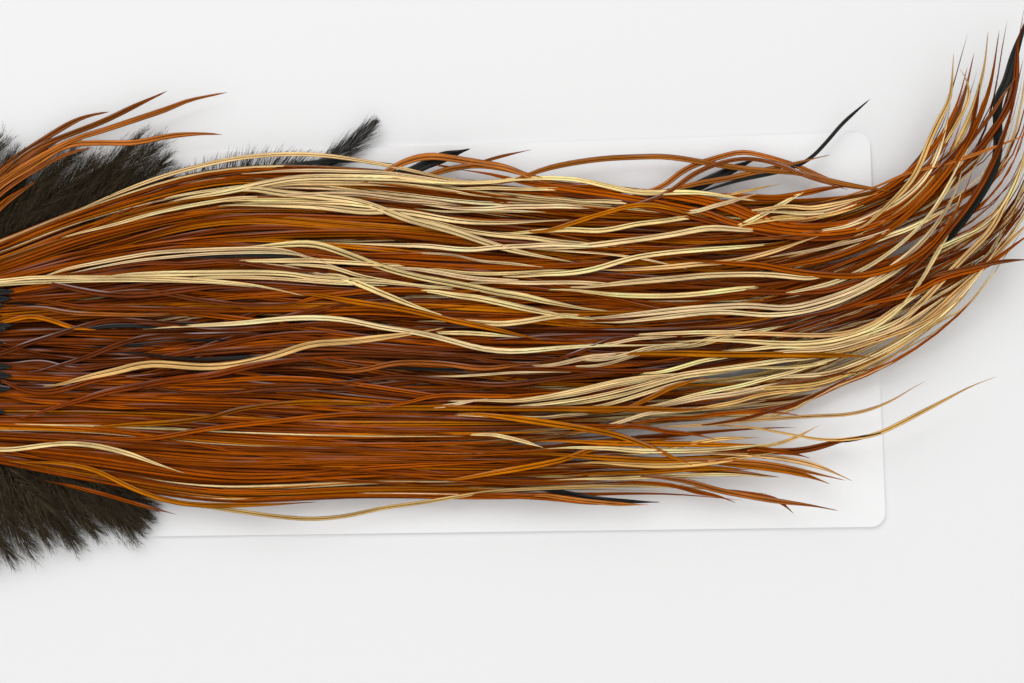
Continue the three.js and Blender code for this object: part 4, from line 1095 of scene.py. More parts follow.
# The fan leaves the bundle between these lines, and everything below them ends on the card.
FAN_LEAVING_LINES = (4.35, 4.95)
FAN_LEAVING_STOP = Stop(9.2, 1.3)
LOW_SIDE_STOP = Stop(9.5, 2.2)


def pick_tone(zones: tuple, line: float, rng: np.random.Generator) -> Tone:
    """Picks a feather's tone by its zone.

    Args:
        zones: the tones of each zone and how often each comes.
        line: the feather's place across the bundle.
        rng: the source of the pick.

    Returns:
        The tone.
    """
    shares = next(shares for limit, shares in zones if line < limit)
    tones = list(shares)
    weights = np.array([shares[tone] for tone in tones], float)
    return tones[rng.choice(len(tones), p=weights / weights.sum())]


@dataclass
class LongHackles:
    """The rows of long saddle hackles, lock by lock."""

    bundle: Bundle
    plumage: Plumage
    finish: bpy.types.Material
    seed: int = 41
    samples: int = 90
    fan_edge: float = 4.3
    thinning: float = 0.42
    short_share: float = 0.38
    short_by: tuple[float, float] = (0.4, 3.8)
    uneven_by: tuple[float, float] = (0.0, 1.1)
    calm_share: float = 0.68
    calm_drift: float = 0.18
    wild_drift: float = 0.75
    sway: tuple[float, float] = (0.04, 0.16)
    ripple: float = 0.025
    wave: tuple[float, float] = (0.05, 0.24)
    tail_drift: float = 0.28
    widths: tuple[float, float] = (1.35, 2.15)

    def root_station(self, row: int) -> float:
        """Finds the station where a row grows from the skin."""
        x = FIRST_ROOT_X - row * ROW_STEP
        places = [point[0] for point in FEATHER_LINES[0]]
        return float(np.interp(x, places, range(len(places))))

    def reach(self, row: Row, line: float, rng: np.random.Generator) -> float:
        """Picks how far along the bundle a feather's tip comes.

        Args:
            row: the feather's row.
            line: its place across the bundle.
            rng: the source of the pick.

        Returns:
            The station of its tip.
        """
        tip = row.tip
        lower = tip > LOWER_ROW_TIP
        if lower and THINNED_LINES[0] < line < THINNED_LINES[1] and rng.uniform() < self.thinning:
            return THINNED_STOP.station - rng.uniform(0, THINNED_STOP.earlier)
        if not lower and line > UPPER_ROW_LINE:
            tip = min(tip, UPPER_ROW_STOP.station) - UPPER_ROW_STOP.earlier * rng.uniform()
        elif FAN_LEAVING_LINES[0] < line < FAN_LEAVING_LINES[1]:
            tip = min(tip, FAN_LEAVING_STOP.station) - FAN_LEAVING_STOP.earlier * rng.uniform()
        elif line >= FAN_LEAVING_LINES[1]:
            tip = min(tip, LOW_SIDE_STOP.station) - LOW_SIDE_STOP.earlier * rng.uniform() ** 0.7
        if rng.uniform() < self.short_share:
            return tip - rng.uniform(*self.short_by)
        return tip - rng.uniform(*self.uneven_by)

    def route(self, line: float, root: float, tip: float, layer: int,
              rng: np.random.Generator) -> np.ndarray:
        """Lays one feather's route through the bundle, with a slow sway.

        Args:
            line: its place across the bundle at the root.
            root: the station of its root.
            tip: the station of its tip.
            layer: its row.
            rng: the source of the sway.

        Returns:
            The route's points, in metres.
        """
        station = np.linspace(root, tip, self.samples)
        free = ramp(station, 1.5, 6.0)
        drift = rng.normal(0, self.calm_drift if rng.uniform() < self.calm_share else self.wild_drift)
        sway = rng.uniform(*self.sway) * np.sin(station * rng.uniform(0.5, 1.1) + rng.uniform(0, 6.3))
        ripple = self.ripple * np.sin(station * rng.uniform(2.0, 3.4) + rng.uniform(0, 6.3))
        wavy = ramp(np.full(1, line), 1.9, 2.7) * (1 - ramp(np.full(1, line), 4.3, 5.0))
        swell = np.sin(station * 2.1 + line * 1.7 + rng.normal(0, 0.5))
        ripple = ripple + wavy * rng.uniform(*self.wave) * swell * (1 - ramp(station, 5.0, 7.5))
        tail = rng.normal(0, self.tail_drift) * ramp(station, tip - 2.4, tip)
        lines = line + free * (drift * ramp(station, 2.0, 9.0) + sway + ripple + tail)
        if line < self.fan_edge:
            far = ramp(station, 7.5, 9.5)
            lines = np.minimum(lines, (LAST_LINE - 0.02) * (1 - far) + self.fan_edge * far)
        rise = rng.uniform(0.05, 1.0) + 0.1 * np.sin(station * rng.uniform(0.8, 1.9) + rng.uniform(0, 6.3))
        return self.bundle.place(np.clip(lines, 0.16, LAST_LINE - 0.02), station, layer, rise)

    def build(self) -> list[bpy.types.Object]:
        """Builds every lock's feathers as one piece in place of its solid.

        Returns:
            The pieces.
        """
        rng = np.random.default_rng(self.seed)
        pieces = []
        for index, row in enumerate(ROWS):
            zones = UPPER_TONES if index > 1 else LOWER_TONES
            root = self.root_station(index)
            share = LAST_LINE / row.locks
            for lock in range(row.locks):
                strands = []
                for _ in range(row.feathers):
                    line = (lock + 0.5 + rng.uniform(-0.62, 0.62)) * share
                    line = float(np.clip(line, 0.02, LAST_LINE - 0.02))
                    tip = self.reach(row, line, rng)
                    route = self.route(line, root + rng.uniform(0, 0.25), tip, index, rng)
                    strands.append(Strand(
                        route, rng.uniform(*self.widths), pick_tone(zones, line, rng),
                        roll=rng.normal(0, 0.5), sway=rng.uniform(0, 0.5),
                        taper_from=rng.uniform(0.6, 0.8), crest=rng.uniform(0.15, 0.22),
                        web_and_painted_shade_end=WEB_AND_PAINTED_SHADE_ENDS[index], web_and_painted_shade_level=WEB_AND_PAINTED_SHADE_LEVELS[index],
                    ))
                node = f"hackle_lock_row{index + 1}_{lock + 1}"
                piece = self.plumage.joined(f"hackles_row{index + 1}_{lock + 1}", strands, rng)
                dress(piece, self.finish, slot_of(node), node)
                pieces.append(piece)
            LOG.info("row %d: %d locks of %d feathers", index + 1, row.locks, row.feathers)
        return pieces


@dataclass(frozen=True)
class ShortFeathers:
    """A band of short webby feathers over the bundle's root end, in millimetres.

    They stand side by side from the first side to the last, from root_x to about tip_x.
    """

    name: str
    slot: str
    tones: tuple[Tone, ...]
    count: int
    sides: tuple[float, float]
    root_x: float
    tip_x: float
    tip_play: tuple[float, float]
    lift: tuple[float, float]
    widths: tuple[float, float]
    web_and_painted_shade_end: float = 0.14
    web_and_painted_shade_level: float = 0.55
    gathered: float = 0.9
    side_play: float = 1.4


DARK_BASE = ShortFeathers("dark_base_feathers", "black_feather", (Tone.BLACK,), 15, (-18, 14),
                          -92, -63.0, (-3.2, 2.6), (0.1, 0.6), (3.2, 4.6))
BASE_COVER = ShortFeathers("base_cover_feathers", "rust_hackle",
                           (Tone.BROWN, Tone.RUSSET, Tone.RUST, Tone.RUST, Tone.PLUM), 16, (-19.5, 15.5),
                           -101, -73.5, (-6.5, 1.2), (0.9, 1.5), (3.8, 5.2), 0.4, 0.4)


@dataclass
class DrawnHackles:
    """The hackles that lie on top or apart, each along its own route."""

    bundle: Bundle
    plumage: Plumage
    finish: bpy.types.Material
    black_finish: bpy.types.Material
    seed: int = 97
    samples: int = 90
    dip: float = 2.6
    dip_length: float = 14.0
    lead: float = 0.33
    root_length: float = 32.0
    clearance: float = 1.8
    smoothing: float = 8.0
    fineness: float = 0.78
    turn: float = 0.42
    loose_turn: float = 0.15
    camera_foot: tuple[float, float] = (102.0, -42.0)
    camera_height: float = 391.0
    drawn_height: float = 6.0
    side_lines: tuple[float, float] = (2.9, 3.6)
    high_side_sink: tuple[float, float, float] = (1.6, 8.2, 10.5)
    low_side_sink: tuple[float, float, float] = (2.3, 8.0, 9.8)
    margin: float = 1.5
    side_slope: float = 0.22
    lowest: float = 3.6
    height_reach: int = 6
    most_roll: float = 0.6

    def __post_init__(self) -> None:
        """Samples the top of the bundle, to rest the hackles on."""
        line, station = np.meshgrid(np.linspace(0, LAST_LINE, 43), np.linspace(0.5, LAST_STATION, 100))
        line, station = line.ravel(), station.ravel()
        low_side = ramp(line, *self.side_lines)
        layers, start, end = self.high_side_sink
        layer = TOP_LAYER - layers * ramp(station, start, end) * (1 - low_side)
        layers, start, end = self.low_side_sink
        layer = layer - layers * ramp(station, start, end) * low_side
        self.top = self.bundle.place(line, station, layer, np.zeros(len(line))) / MM
        self.top_lines, self.top_stations = line, station

    def lead_on(self, place: np.ndarray, way: int) -> np.ndarray:
        """Follows the bundle's flow on from a place, towards the roots or the tips.

        Args:
            place: the place from above, in millimetres.
            way: -1 towards the roots, 1 towards the tips.

        Returns:
            The places that follow, nearest first.
        """
        nearest = np.linalg.norm(self.top[:, :2] - place, axis=1).argmin()
        station = self.top_stations[nearest] + way * np.linspace(0, self.lead, 6)
        station = np.clip(station, 0, LAST_STATION)
        line = np.full(len(station), self.top_lines[nearest])
        level = np.full(len(line), TOP_LAYER)
        flow = self.bundle.place(line, station, level, np.zeros(len(line)))[:, :2] / MM
        return place + (flow - flow[0])[1:]

    def eased(self, values: np.ndarray, step: float) -> np.ndarray:
        """Smooths values along a route, with its ends left in place.

        Args:
            values: one row a sample.
            step: the distance between samples, in millimetres.

        Returns:
            The smoothed values.
        """
        reach = max(1, int(round(self.smoothing / step / 2)))
        head = 2 * values[:1] - values[reach:0:-1]
        tail = 2 * values[-1:] - values[-2:-reach - 2:-1]
        padded = np.concatenate([head, values, tail])
        window = np.hanning(2 * reach + 3)[1:-1]
        window = window / window.sum()
        return np.column_stack([np.convolve(column, window, mode="valid") for column in padded.T])

    def heights(self, flat: np.ndarray) -> np.ndarray:
        """Finds how high a hackle lies at each place.

        Args:
            flat: places from above, in millimetres.

        Returns:
            Heights in millimetres: on the bundle, or sinking towards the card beside it.
        """
        gaps = np.linalg.norm(flat[:, None, :] - self.top[None, :, :2], axis=2)
        nearest = gaps.argmin(axis=1)
        beside = np.maximum(0, gaps.min(axis=1) - self.margin)
        height = self.top[nearest, 2] - self.side_slope * beside
        height = np.maximum(height, self.lowest)
        padded = np.pad(height, self.height_reach, mode="edge")
        window = 2 * self.height_reach + 1
        return np.convolve(padded, np.ones(window) / window, mode="valid")

    def route(self, drawn: Drawn, lift: float) -> np.ndarray:
        """Turns a route seen from above into one that rests on the bundle.

        Args:
            drawn: the hackle.
            lift: its height over the bundle, in millimetres.

        Returns:
            The route's points, in metres.
        """
        seen = np.array(drawn.route, float)
        seen = np.concatenate([self.lead_on(seen[0], -1)[::-1], seen])
        if not drawn.free_tip:
            seen = np.concatenate([seen, self.lead_on(seen[-1], 1)])
        steps = np.concatenate([[0], np.cumsum(np.linalg.norm(np.diff(seen, axis=0), axis=1))])
        even = np.linspace(0, steps[-1], self.samples)
        flat = smooth_through(seen, np.interp(even, steps, np.arange(len(seen))))
        flat = self.eased(flat, even[1])
        height = self.heights(flat) + lift
        height = height - (self.dip + lift) * (1 - ramp(even, 0, self.dip_length))
        if not drawn.free_tip:
            height = height - (self.dip + lift) * ramp(even, steps[-1] - self.dip_length, steps[-1])
        height = np.maximum(height, self.clearance)
        foot = np.array(self.camera_foot)
        nearer = (self.camera_height - height) / (self.camera_height - self.drawn_height)
        flat = foot + (flat - foot) * nearer[:, None]
        return np.column_stack([flat, height]) * MM

    def piece(self, name: str, hackles: tuple, slot: str, rng: np.random.Generator,
              *nodes: str) -> bpy.types.Object:
        """Builds one piece of drawn hackles.

        Args:
            name: the piece's name.
            hackles: the hackles.
            slot: the record's slot for the piece, handed on to dress.
            rng: the source of their small differences.
            nodes: the frame's nodes that the piece stands for.

        Returns:
            The piece.
        """
        strands = []
        turn = self.loose_turn if nodes else self.turn
        for drawn in hackles:
            route = self.route(drawn, drawn.lift + rng.uniform(0.1, 1.0))
            taper = rng.uniform(0.82, 0.88) if nodes else rng.uniform(0.66, 0.8)
            roll = float(np.clip(rng.normal(0, turn), -self.most_roll, self.most_roll))
            strands.append(Strand(
                route, drawn.width * self.fineness, drawn.tone, roll=roll, sway=turn * rng.uniform(0.3, 1.1),
                taper_from=taper, tip_width=0.3 if nodes else 0.14, root_width=0.03,
                root_length=self.root_length, crest=rng.uniform(0.1, 0.15), web_and_painted_shade_end=0.0,
            ))
        piece = self.plumage.joined(name, strands, rng)
        black = all(drawn.tone is Tone.BLACK for drawn in hackles)
        dress(piece, self.black_finish if black else self.finish, slot, *nodes)
        return piece

    def short_feathers(self, band: ShortFeathers, rng: np.random.Generator) -> None:
        """Builds a band of short feathers as one piece.

        Args:
            band: the band.
            rng: the source of their unevenness.
        """
        strands = []
        for number, side in enumerate(np.linspace(*band.sides, band.count)):
            tip = band.tip_x + rng.uniform(*band.tip_play)
            turned = side + rng.uniform(-band.side_play, band.side_play)
            flat = np.column_stack([np.linspace(band.root_x, tip, 40),
                                    np.linspace(side * band.gathered, turned, 40)])
            height = self.heights(flat) + rng.uniform(*band.lift)
            route = np.column_stack([flat, height]) * MM
            tone = band.tones[number % len(band.tones)]
            strands.append(Strand(route, rng.uniform(*band.widths), tone, crest=0.05, leaf=True,
                                  web_and_painted_shade_end=band.web_and_painted_shade_end, web_and_painted_shade_level=band.web_and_painted_shade_level))
        piece = self.plumage.joined(band.name, strands, rng)
        dress(piece, self.black_finish if band.tones == (Tone.BLACK,) else self.finish, band.slot)
        LOG.info("%s: %d", band.name, band.count)

    def build(self) -> None:
        """Builds every group of drawn hackles."""
        rng = np.random.default_rng(self.seed)
        groups = (
            ("upper_cream_hackles", UPPER_CREAMS, "cream_hackle"),
            ("middle_cream_hackles", MIDDLE_CREAMS, "cream_hackle"),
            ("lower_cream_hackles", LOWER_CREAMS, "cream_hackle"),
            ("arching_rust_hackles", ARCHING_RUSTS, "rust_hackle"),
            ("sweeping_rust_hackles", SWEEPING_RUSTS, "rust_hackle"),
            ("upper_right_rust_hackles", UPPER_RIGHT_RUSTS, "rust_hackle"),
            ("lower_right_rust_hackles", LOWER_RIGHT_RUSTS, "rust_hackle"),
            ("separate_tip_hackles", SEPARATE_TIPS, "cream_hackle"),
            ("fan_hackles", FAN_HACKLES, "rust_hackle"),
            ("small_black_hackles", BLACK_HACKLES, "black_feather"),
        )
        for name, hackles, slot in groups:
            self.piece(name, hackles, slot, rng)
            LOG.info("%s: %d", name, len(hackles))
        self.short_feathers(DARK_BASE, rng)
        self.short_feathers(BASE_COVER, np.random.default_rng(self.seed + 1))
        for node, hackles in STRAY_HACKLES.items():
            self.piece(f"{node}_vanes", hackles, slot_of(node), rng, node)
            LOG.info("%s: %d", node, len(hackles))


@dataclass(frozen=True)
class PlumeSize:
    """A loose-barbed feather: how many barbs it has, and how they stand."""

    barbs: int = 270
    barb_length: float = 16.0
    barb_radius: float = 0.09
    barbules: int = 6
    barbule_length: float = 3.0
    barbule_radius: float = 0.042
    barbule_lean: tuple[float, float] = (0.1, 0.4)
    spread: float = 0.62
    closing: float = 0.4
    lift: float = 0.26
    sides: tuple[int, ...] = (-1, 1)
    tip_share: float = 0.45


DOWN_STREAKS = PlumeSize(barbs=80, barb_length=13.0, barb_radius=0.2, barbules=0, spread=0.55, lift=0.12)
PARTED_PLUME = PlumeSize(barbs=420, barb_length=11.5, barb_radius=0.13, barbules=2, barbule_length=1.1,
                         spread=0.5, closing=0.3, lift=0.03, tip_share=0.16)
EDGE_BARBS = PlumeSize(barbs=160, barb_length=8.2, barb_radius=0.13, barbules=1, barbule_length=1.0,
                       spread=1.5, closing=0.85, lift=0.1, sides=(1,))
# The down's barbs take these at random: the brown ones are partly the down's own lighter barbs, partly
# painted highlight.
DOWN_COLOURS = {
    "down_dark": (0.029, 0.022, 0.013),
    "down_grey": (0.066, 0.051, 0.030),
    "down_brown": (0.145, 0.108, 0.062),
}
PLUME_COLOURS = {
    "plume_black": (0.012, 0.012, 0.012),
    "plume_grey": (0.060, 0.056, 0.052),
    "plume_pale": (0.170, 0.160, 0.145),
}
# The lowest that a barb's middle line may come, in millimetres: just over the card.
BARB_CLEARANCE = 1.05


def bent_needles(needle: Shape, starts: np.ndarray, ways: np.ndarray, ends: np.ndarray,
                 lengths: np.ndarray, radii: np.ndarray) -> np.ndarray:
    """Lays needles along curved paths.

    Args:
        needle: the master.
        starts: where each needle starts.
        ways: the way that each sets out.
        ends: the way that each points at its tip.
        lengths: their lengths.
        radii: their radii at the root.

    Returns:
        The points of each needle.
    """
    part = needle.points[None, :, 0, None]
    sideways = needle.points[None, :, 1, None] * radii[:, None, None]
    upwards = needle.points[None, :, 2, None] * radii[:, None, None]
    turn = (ends - ways)[:, None, :]
    path = starts[:, None, :] + lengths[:, None, None] * (ways[:, None, :] * part + turn * part ** 2 / 2)
    path[:, :, 2] = np.maximum(path[:, :, 2], BARB_CLEARANCE)
    way = unit(ways[:, None, :] + turn * part)
    side = unit(np.cross(way, np.array([0.0, 0.0, 1.0])) + 1e-9)
    return path + side * sideways + np.cross(side, way) * upwards


@dataclass
class Plume:
    """A feather of loose barbs with barbules, on a thin stem."""

    barb: Shape
    barbule: Shape
    size: PlumeSize

    def grown(self, stem: np.ndarray, scale: float,
              rng: np.random.Generator) -> tuple[np.ndarray, np.ndarray]:
        """Grows the barbs and barbules of one feather.

        Args:
            stem: the stem's points, in millimetres.
            scale: how wide the feather is, 1 for the usual.
            rng: the source of its unevenness.

        Returns:
            The barbs' points and the barbules' points, in metres.
        """
        size = self.size
        count = size.barbs
        part = np.sort(rng.uniform(0.02, 1.0, count))
        side = rng.choice(size.sides, count)
        places = part * (len(stem) - 1)
        starts = smooth_through(stem, places)
        way = unit(smooth_through(stem, np.minimum(places + 0.15, len(stem) - 1)) - starts + 1e-9)
        across = np.column_stack([-way[:, 1], way[:, 0], np.zeros(count)])
        opening = size.spread * (1 - 0.55 * part) * rng.uniform(0.75, 1.25, count)
        rise = np.array([0.0, 0.0, 1.0]) * (size.lift * rng.normal(0.5, 0.8, count))[:, None]
        ways = unit(way * np.cos(opening)[:, None] + across * (side * np.sin(opening))[:, None] + rise)
        closed = opening * size.closing
        ends = way * np.cos(closed)[:, None] + across * (side * np.sin(closed))[:, None]
        ends = unit(ends + rng.normal(0, 0.16, (count, 3)) - np.array([0, 0, 0.12]))
        fullness = np.sin(np.pi * np.clip(part * 0.9 + 0.1, 0, 1))
        lengths = size.barb_length * scale * (size.tip_share + (1 - size.tip_share) * fullness)
        lengths = lengths * rng.uniform(0.75, 1.15, count)
        barbs = bent_needles(self.barb, starts, ways, ends, lengths, np.full(count, size.barb_radius))
        if not size.barbules:
            return barbs * MM, np.zeros((0, len(self.barbule.points), 3))
        pick = np.repeat(np.arange(count), size.barbules)
        at = rng.uniform(0.12, 0.97, len(pick))[:, None]
        turn = (ends - ways)[pick]
        roots = starts[pick] + lengths[pick][:, None] * (ways[pick] * at + turn * at ** 2 / 2)
        along = unit(ways[pick] + turn * at)
        beside = np.column_stack([-along[:, 1], along[:, 0], np.zeros(len(pick))])
        tilt = rng.uniform(*size.barbule_lean, len(pick)) * rng.choice((-1, 1), len(pick))
        out = along * np.cos(tilt)[:, None] + beside * np.sin(tilt)[:, None]
        out = unit(out + np.array([0, 0, 1.0]) * rng.normal(0.1, 0.3, len(pick))[:, None])
        reach = size.barbule_length * rng.uniform(0.6, 1.3, len(pick)) * (1.15 - 0.6 * at[:, 0])
        fine = bent_needles(self.barbule, roots, out, unit(out + along * 0.6), reach,
                            np.full(len(pick), size.barbule_radius))
        return barbs * MM, fine * MM


def plain_finish(name: str, colour: tuple[float, float, float], roughness: float) -> bpy.types.Material:
    """Makes a finish of one colour.

    Args:
        name: the finish's name.
        colour: its linear colour.
        roughness: its roughness.

    Returns:
        The material.
    """
    nodes = Nodes(name)
    nodes.shader.inputs["Base Color"].default_value = (*colour, 1.0)
    nodes.shader.inputs["Roughness"].default_value = roughness
    nodes.shader.inputs["Specular IOR Level"].default_value = 0.08
    return nodes.material


def joined_groups(name: str, groups: list, rng: np.random.Generator) -> bpy.types.Object:
    """Joins several sets of copies in one mesh, each set with its own finishes.

    Args:
        name: the piece's name.
        groups: for each set the master, the copies' points and the finishes to pick from.
        rng: the source of the picks.

    Returns:
        The piece.
    """
    points, corners, starts, picks, finishes = [], [], [], [], []
    point_count = corner_count = 0
    for shape, copies, choices in groups:
        count, size = copies.shape[:2]
        steps = np.arange(count)[:, None]
        points.append(copies.reshape(-1, 3))
        corners.append((steps * size + shape.corners).ravel() + point_count)
        starts.append((steps * len(shape.corners) + shape.starts).ravel() + corner_count)
        pick = rng.integers(0, len(choices), count) + len(finishes)
        picks.append(np.repeat(pick, len(shape.starts)))
        finishes.extend(choices)
        point_count += count * size
        corner_count += count * len(shape.corners)
    mesh = new_mesh(name, np.concatenate(points), np.concatenate(corners), np.concatenate(starts))
    for finish in finishes:
        mesh.materials.append(finish)
    mesh.polygons.foreach_set("material_index", np.concatenate(picks).astype(np.int32))
    return placed(name, mesh)


# The down feathers' stems from root to tip, in millimetres from above.
DOWN_STEMS = {
    "down_upper_1": (((-124, 26), (-115, 38), (-104, 52)), ((-118, 26), (-107, 38), (-95, 54)),
                     ((-110, 26), (-99, 38), (-87, 53))),
    "down_upper_2": (((-102, 27), (-90, 41), (-78, 57)), ((-96, 27), (-84, 40), (-71, 57)),
                     ((-90, 26), (-78, 38), (-66, 53))),
    "down_upper_3": (((-86, 26), (-73, 39), (-58, 56)), ((-80, 26), (-66, 38), (-49, 54)),
                     ((-76, 25), (-61, 36), (-43, 51)), ((-72, 24), (-62, 31), (-50, 38))),
    "down_upper_4": (((-66, 28), (-50, 41), (-31, 57)), ((-60, 29), (-43, 41), (-26, 55)),
                     ((-54, 31), (-38, 40), (-23, 50)), ((-48, 32), (-34, 38), (-21, 45))),
    "down_lower_1": (((-130, -26), (-122, -40), (-112, -56)), ((-122, -26), (-113, -41), (-102, -57)),
                     ((-114, -27), (-105, -41), (-94, -57))),
    "down_lower_2": (((-106, -27), (-97, -43), (-85, -59)), ((-100, -27), (-90, -42), (-78, -59)),
                     ((-94, -27), (-84, -41), (-72, -57))),
    "down_lower_3": (((-88, -27), (-78, -42), (-66, -58)), ((-83, -27), (-72, -41), (-60, -56)),
                     ((-78, -27), (-67, -39), (-55, -53)), ((-72, -28), (-63, -37), (-53, -47))),
    "down_lower_4": (((-72, -27), (-60, -40), (-48, -54)), ((-66, -28), (-54, -40), (-42, -51)),
                     ((-60, -29), (-50, -38), (-38, -48)), ((-56, -30), (-47, -36), (-37, -42))),
    "down_lower_5": (((-54, -30), (-43, -41), (-32, -51)), ((-48, -31), (-38, -41), (-29, -48)),
                     ((-44, -32), (-36, -40), (-28, -45))),
}


@dataclass
class Down:
    """The dark down that stands out above and below the bundle's root end."""

    plumage: Plumage
    seed: int = 23
    bed_width: float = 7.5
    floor: float = 1.9
    layer_step: float = 0.9

    def build(self) -> None:
        """Builds each down feather group in place of its solid."""
        rng = np.random.default_rng(self.seed)
        barb, barbule = NeedleMaster(3).build(), NeedleMaster(0).build()
        tones = [plain_finish(name, colour, 0.6) for name, colour in DOWN_COLOURS.items()]
        bed_finish = plain_finish("down_bed", (0.030, 0.023, 0.014), 0.8)
        plume = Plume(barb, barbule, PlumeSize())
        streaks = Plume(barb, barbule, DOWN_STREAKS)
        for node, stems in DOWN_STEMS.items():
            barbs, fine, beds = [], [], []
            for level, flat in enumerate(stems):
                rise = self.floor + self.layer_step * level + np.array([2.4, 2.0, 0.8])
                stem = np.column_stack([np.array(flat, float), rise])
                grown, finer = plume.grown(stem, rng.uniform(0.75, 0.95), rng)
                barbs.append(grown)
                fine.append(finer)
                barbs.append(streaks.grown(stem - np.array([0, 0, 0.9]), rng.uniform(0.8, 1.0), rng)[0])
                flat_stem = np.column_stack([stem[:, :2], np.full(3, self.floor - 0.4)])
                bed = smooth_through(flat_stem, np.linspace(0, 1.7, 30)) * MM
                leaf = Strand(bed, self.bed_width, Tone.BLACK, crest=0.02, leaf=True)
                beds.append(self.plumage.laid(leaf)[0])
            groups = [
                (barb, np.concatenate(barbs), tones),
                (barbule, np.concatenate(fine), tones),
                (self.plumage.feather, np.array(beds), [bed_finish]),
            ]
            piece = joined_groups(f"{node}_barbs", groups, rng)
            ride_for(piece, node)
            LOG.info("%s: %d barbs", node, sum(len(part) for part in barbs))


@dataclass
class BlackPlume:
    """The black feather with parted barbs at the bundle's upper edge, and the thin row beside it."""

    seed: int = 31
    stem: tuple = ((14, 42, 2.4), (22.5, 48.4, 2.6), (30.5, 54.2, 3.0), (37.6, 60.4, 3.4))
    row: tuple = ((-17, 45.6, 2.6), (-4, 47.5, 2.8), (9, 49.2, 2.8), (25, 50.3, 2.6))

    def build(self) -> None:
        """Builds the plume in place of its solid, and the row of thin barbs."""
        rng = np.random.default_rng(self.seed)
        barb, barbule = NeedleMaster(3).build(), NeedleMaster(0).build()
        tones = [plain_finish(name, colour, 0.5) for name, colour in PLUME_COLOURS.items()]
        barbs, fine = Plume(barb, barbule, PARTED_PLUME).grown(np.array(self.stem, float), 1.0, rng)
        piece = joined_groups("black_plume_barbs", [(barb, barbs, tones), (barbule, fine, tones)], rng)
        ride_for(piece, "black_plume")
        barbs, fine = Plume(barb, barbule, EDGE_BARBS).grown(np.array(self.row, float), 1.0, rng)
        piece = joined_groups("black_edge_barbs", [(barb, barbs, tones), (barbule, fine, tones)], rng)
        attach(piece, BODY)
        LOG.info("black plume and edge barbs")


@dataclass
class BackFeathers:
    """The broad webby feathers that cover the roots of the long rows."""

    bundle: Bundle
    plumage: Plumage
    finish: bpy.types.Material
    seed: int = 61
    locks: int = 5
    feathers: int = 4
    samples: int = 60
    spread: float = 0.36
    tones: tuple[Tone, ...] = (Tone.RUST, Tone.BROWN, Tone.AMBER, Tone.BROWN)
    widths: tuple[float, float] = (9.5, 12.5)

    def build(self) -> None:
        """Builds each group of back feathers in place of its solid."""
        rng = np.random.default_rng(self.seed)
        for lock in range(self.locks):
            strands = []
            for number in range(self.feathers):
                beside = self.spread * (number % 2 * 2 - 1) * rng.uniform(0.6, 1.2)
                line = (lock + 0.5 + beside) * LAST_LINE / self.locks
                line = float(np.clip(line, 0.35, LAST_LINE - 0.35))
                start = 0.1 + 0.14 * (number // 2)
                station = np.linspace(start, start + rng.uniform(1.1, 1.5), self.samples)
                rise = 0.3 + 0.5 * number + 0.6 * np.sin(np.linspace(0, np.pi, self.samples))
                places = self.bundle.place(np.full(self.samples, line), station, TOP_LAYER, rise)
                tone = self.tones[(number + lock) % len(self.tones)]
                strands.append(Strand(places, rng.uniform(*self.widths), tone, crest=0.05, leaf=True,
                                      web_and_painted_shade_end=0.55, web_and_painted_shade_level=0.25))
            piece = self.plumage.joined(f"back_feathers_{lock + 1}", strands, rng)
            node = f"back_feather_{lock + 1}"
            dress(piece, self.finish, slot_of(node), node)
        LOG.info("back feathers: %d groups of %d", self.locks, self.feathers)


def ride_for(piece: bpy.types.Object, node: str) -> None:
    """Lets a piece ride on the saddle in place of one of the frame's nodes."""
    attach(piece, BODY)
    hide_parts(node)


def dress(piece: bpy.types.Object, finish: bpy.types.Material, slot: str, *nodes: str) -> None:
    """Gives a piece its finish, lets it ride on the saddle and stand for the frame's nodes.

    Args:
        piece: the finished piece.
        finish: its material.
        slot: the record's slot for the piece; not used.
        nodes: the frame's nodes that it stands for.
    """
    piece.data.materials.clear()
    piece.data.materials.append(finish)
    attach(piece, BODY)
    if nodes:
        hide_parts(*nodes)


@dataclass(frozen=True)
class SoftLight:
    """A soft square light: its place and side in metres, and its power in watts."""

    name: str
    place: tuple[float, float, float]
    side: float
    power: float


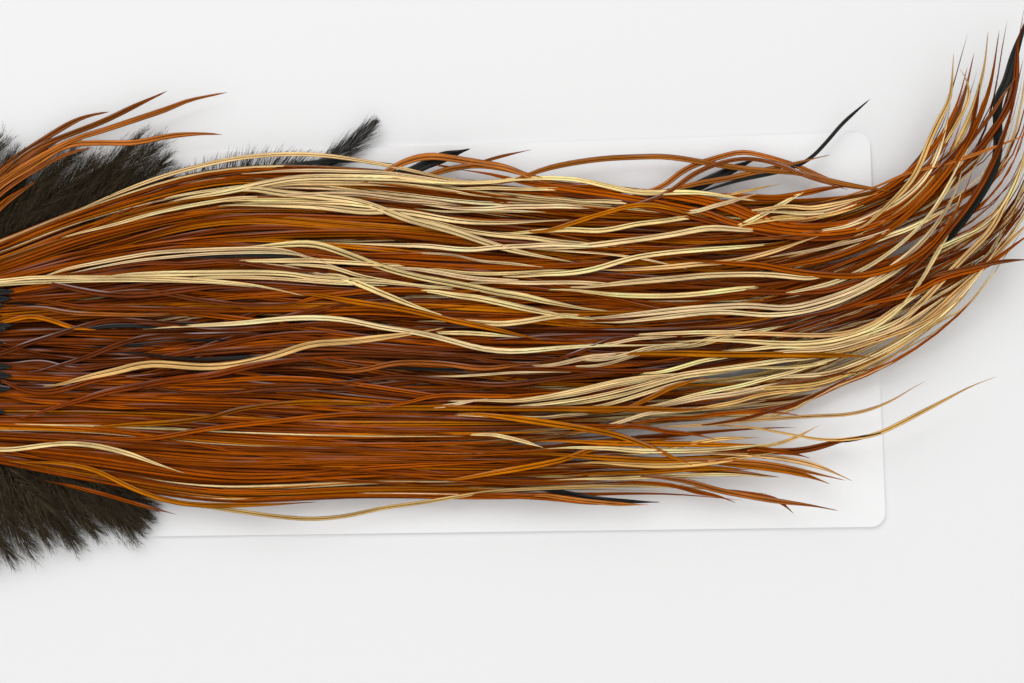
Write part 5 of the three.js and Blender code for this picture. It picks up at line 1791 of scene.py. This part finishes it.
@dataclass(frozen=True)
class Studio:
    """A pale floor, soft light from above and behind, and the camera."""

    camera_place: tuple[float, float, float] = (0.102, -0.042, 0.391)
    camera_turn: tuple[float, float, float] = (5.8, 4.0, -0.87)
    lens: float = 50.0
    lights: tuple[SoftLight, ...] = (
        SoftLight("key", (-0.45, 1.0, 1.25), 1.2, 10.5),
        SoftLight("fill", (0.4, -0.8, 1.1), 1.5, 3.7),
    )
    lit_place: tuple[float, float, float] = (0.07, 0.0, 0.0)
    sky_strength: float = 0.73
    floor_side: float = 4.0
    floor_height: float = -0.0002

    def build(self) -> None:
        """Builds the camera, the lights, the world and the floor."""
        self.add_camera()
        for light in self.lights:
            self.add_light(light)
        world = bpy.data.worlds.new("studio")
        world.use_nodes = True
        sky = world.node_tree.nodes["Background"]
        sky.inputs["Color"].default_value = (1.0, 1.0, 1.0, 1.0)
        sky.inputs["Strength"].default_value = self.sky_strength
        bpy.context.scene.world = world
        bpy.context.scene.view_settings.view_transform = "Standard"
        self.add_floor()

    def add_camera(self) -> None:
        """Adds the camera that looks down on the card."""
        data = bpy.data.cameras.new("camera")
        data.lens = self.lens
        data.sensor_width = 36.0
        camera = bpy.data.objects.new("camera", data)
        camera.location = self.camera_place
        camera.rotation_euler = [math.radians(angle) for angle in self.camera_turn]
        bpy.context.scene.collection.objects.link(camera)
        bpy.context.scene.camera = camera

    def add_light(self, soft: SoftLight) -> None:
        """Adds a soft light that faces the middle of the saddle.

        Args:
            soft: the light.
        """
        data = bpy.data.lights.new(soft.name, "AREA")
        data.size = soft.side
        data.energy = soft.power
        light = bpy.data.objects.new(soft.name, data)
        light.location = soft.place
        way = light.location - Vector(self.lit_place)
        light.rotation_euler = way.to_track_quat("Z", "Y").to_euler()
        bpy.context.scene.collection.objects.link(light)

    def add_floor(self) -> None:
        """Adds the pale floor under the card."""
        clear_selection()
        bpy.ops.mesh.primitive_plane_add(size=self.floor_side, location=(0.0, 0.0, self.floor_height))
        floor = bpy.context.object
        floor.name = "floor"
        bpy.ops.object.transform_apply(location=True)
        floor.data.materials.append(FLOOR_WHITE.material())
        floor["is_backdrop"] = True


def main() -> None:
    """Builds the saddle, piece by piece."""
    logging.basicConfig(level=logging.INFO, format="%(message)s")
    box_before = tuple(corner.copy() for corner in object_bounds())
    Studio().build()
    plumage = Plumage(FeatherMaster().build())
    vane = VaneFinish().material()
    for node, finish in (("backing_card", CARD_WHITE), ("skin", DRIED_SKIN)):
        frame["nodes"][node].data.materials.clear()
        frame["nodes"][node].data.materials.append(finish.material())
    black_vane = VaneFinish(name="black_vane", specular=0.16).material()
    LongHackles(saddle_bundle(), plumage, vane).build()
    DrawnHackles(saddle_bundle(), plumage, vane, black_vane).build()
    Down(plumage).build()
    BlackPlume().build()
    BackFeathers(saddle_bundle(), plumage, vane).build()


if __name__ == "__main__":
    main()
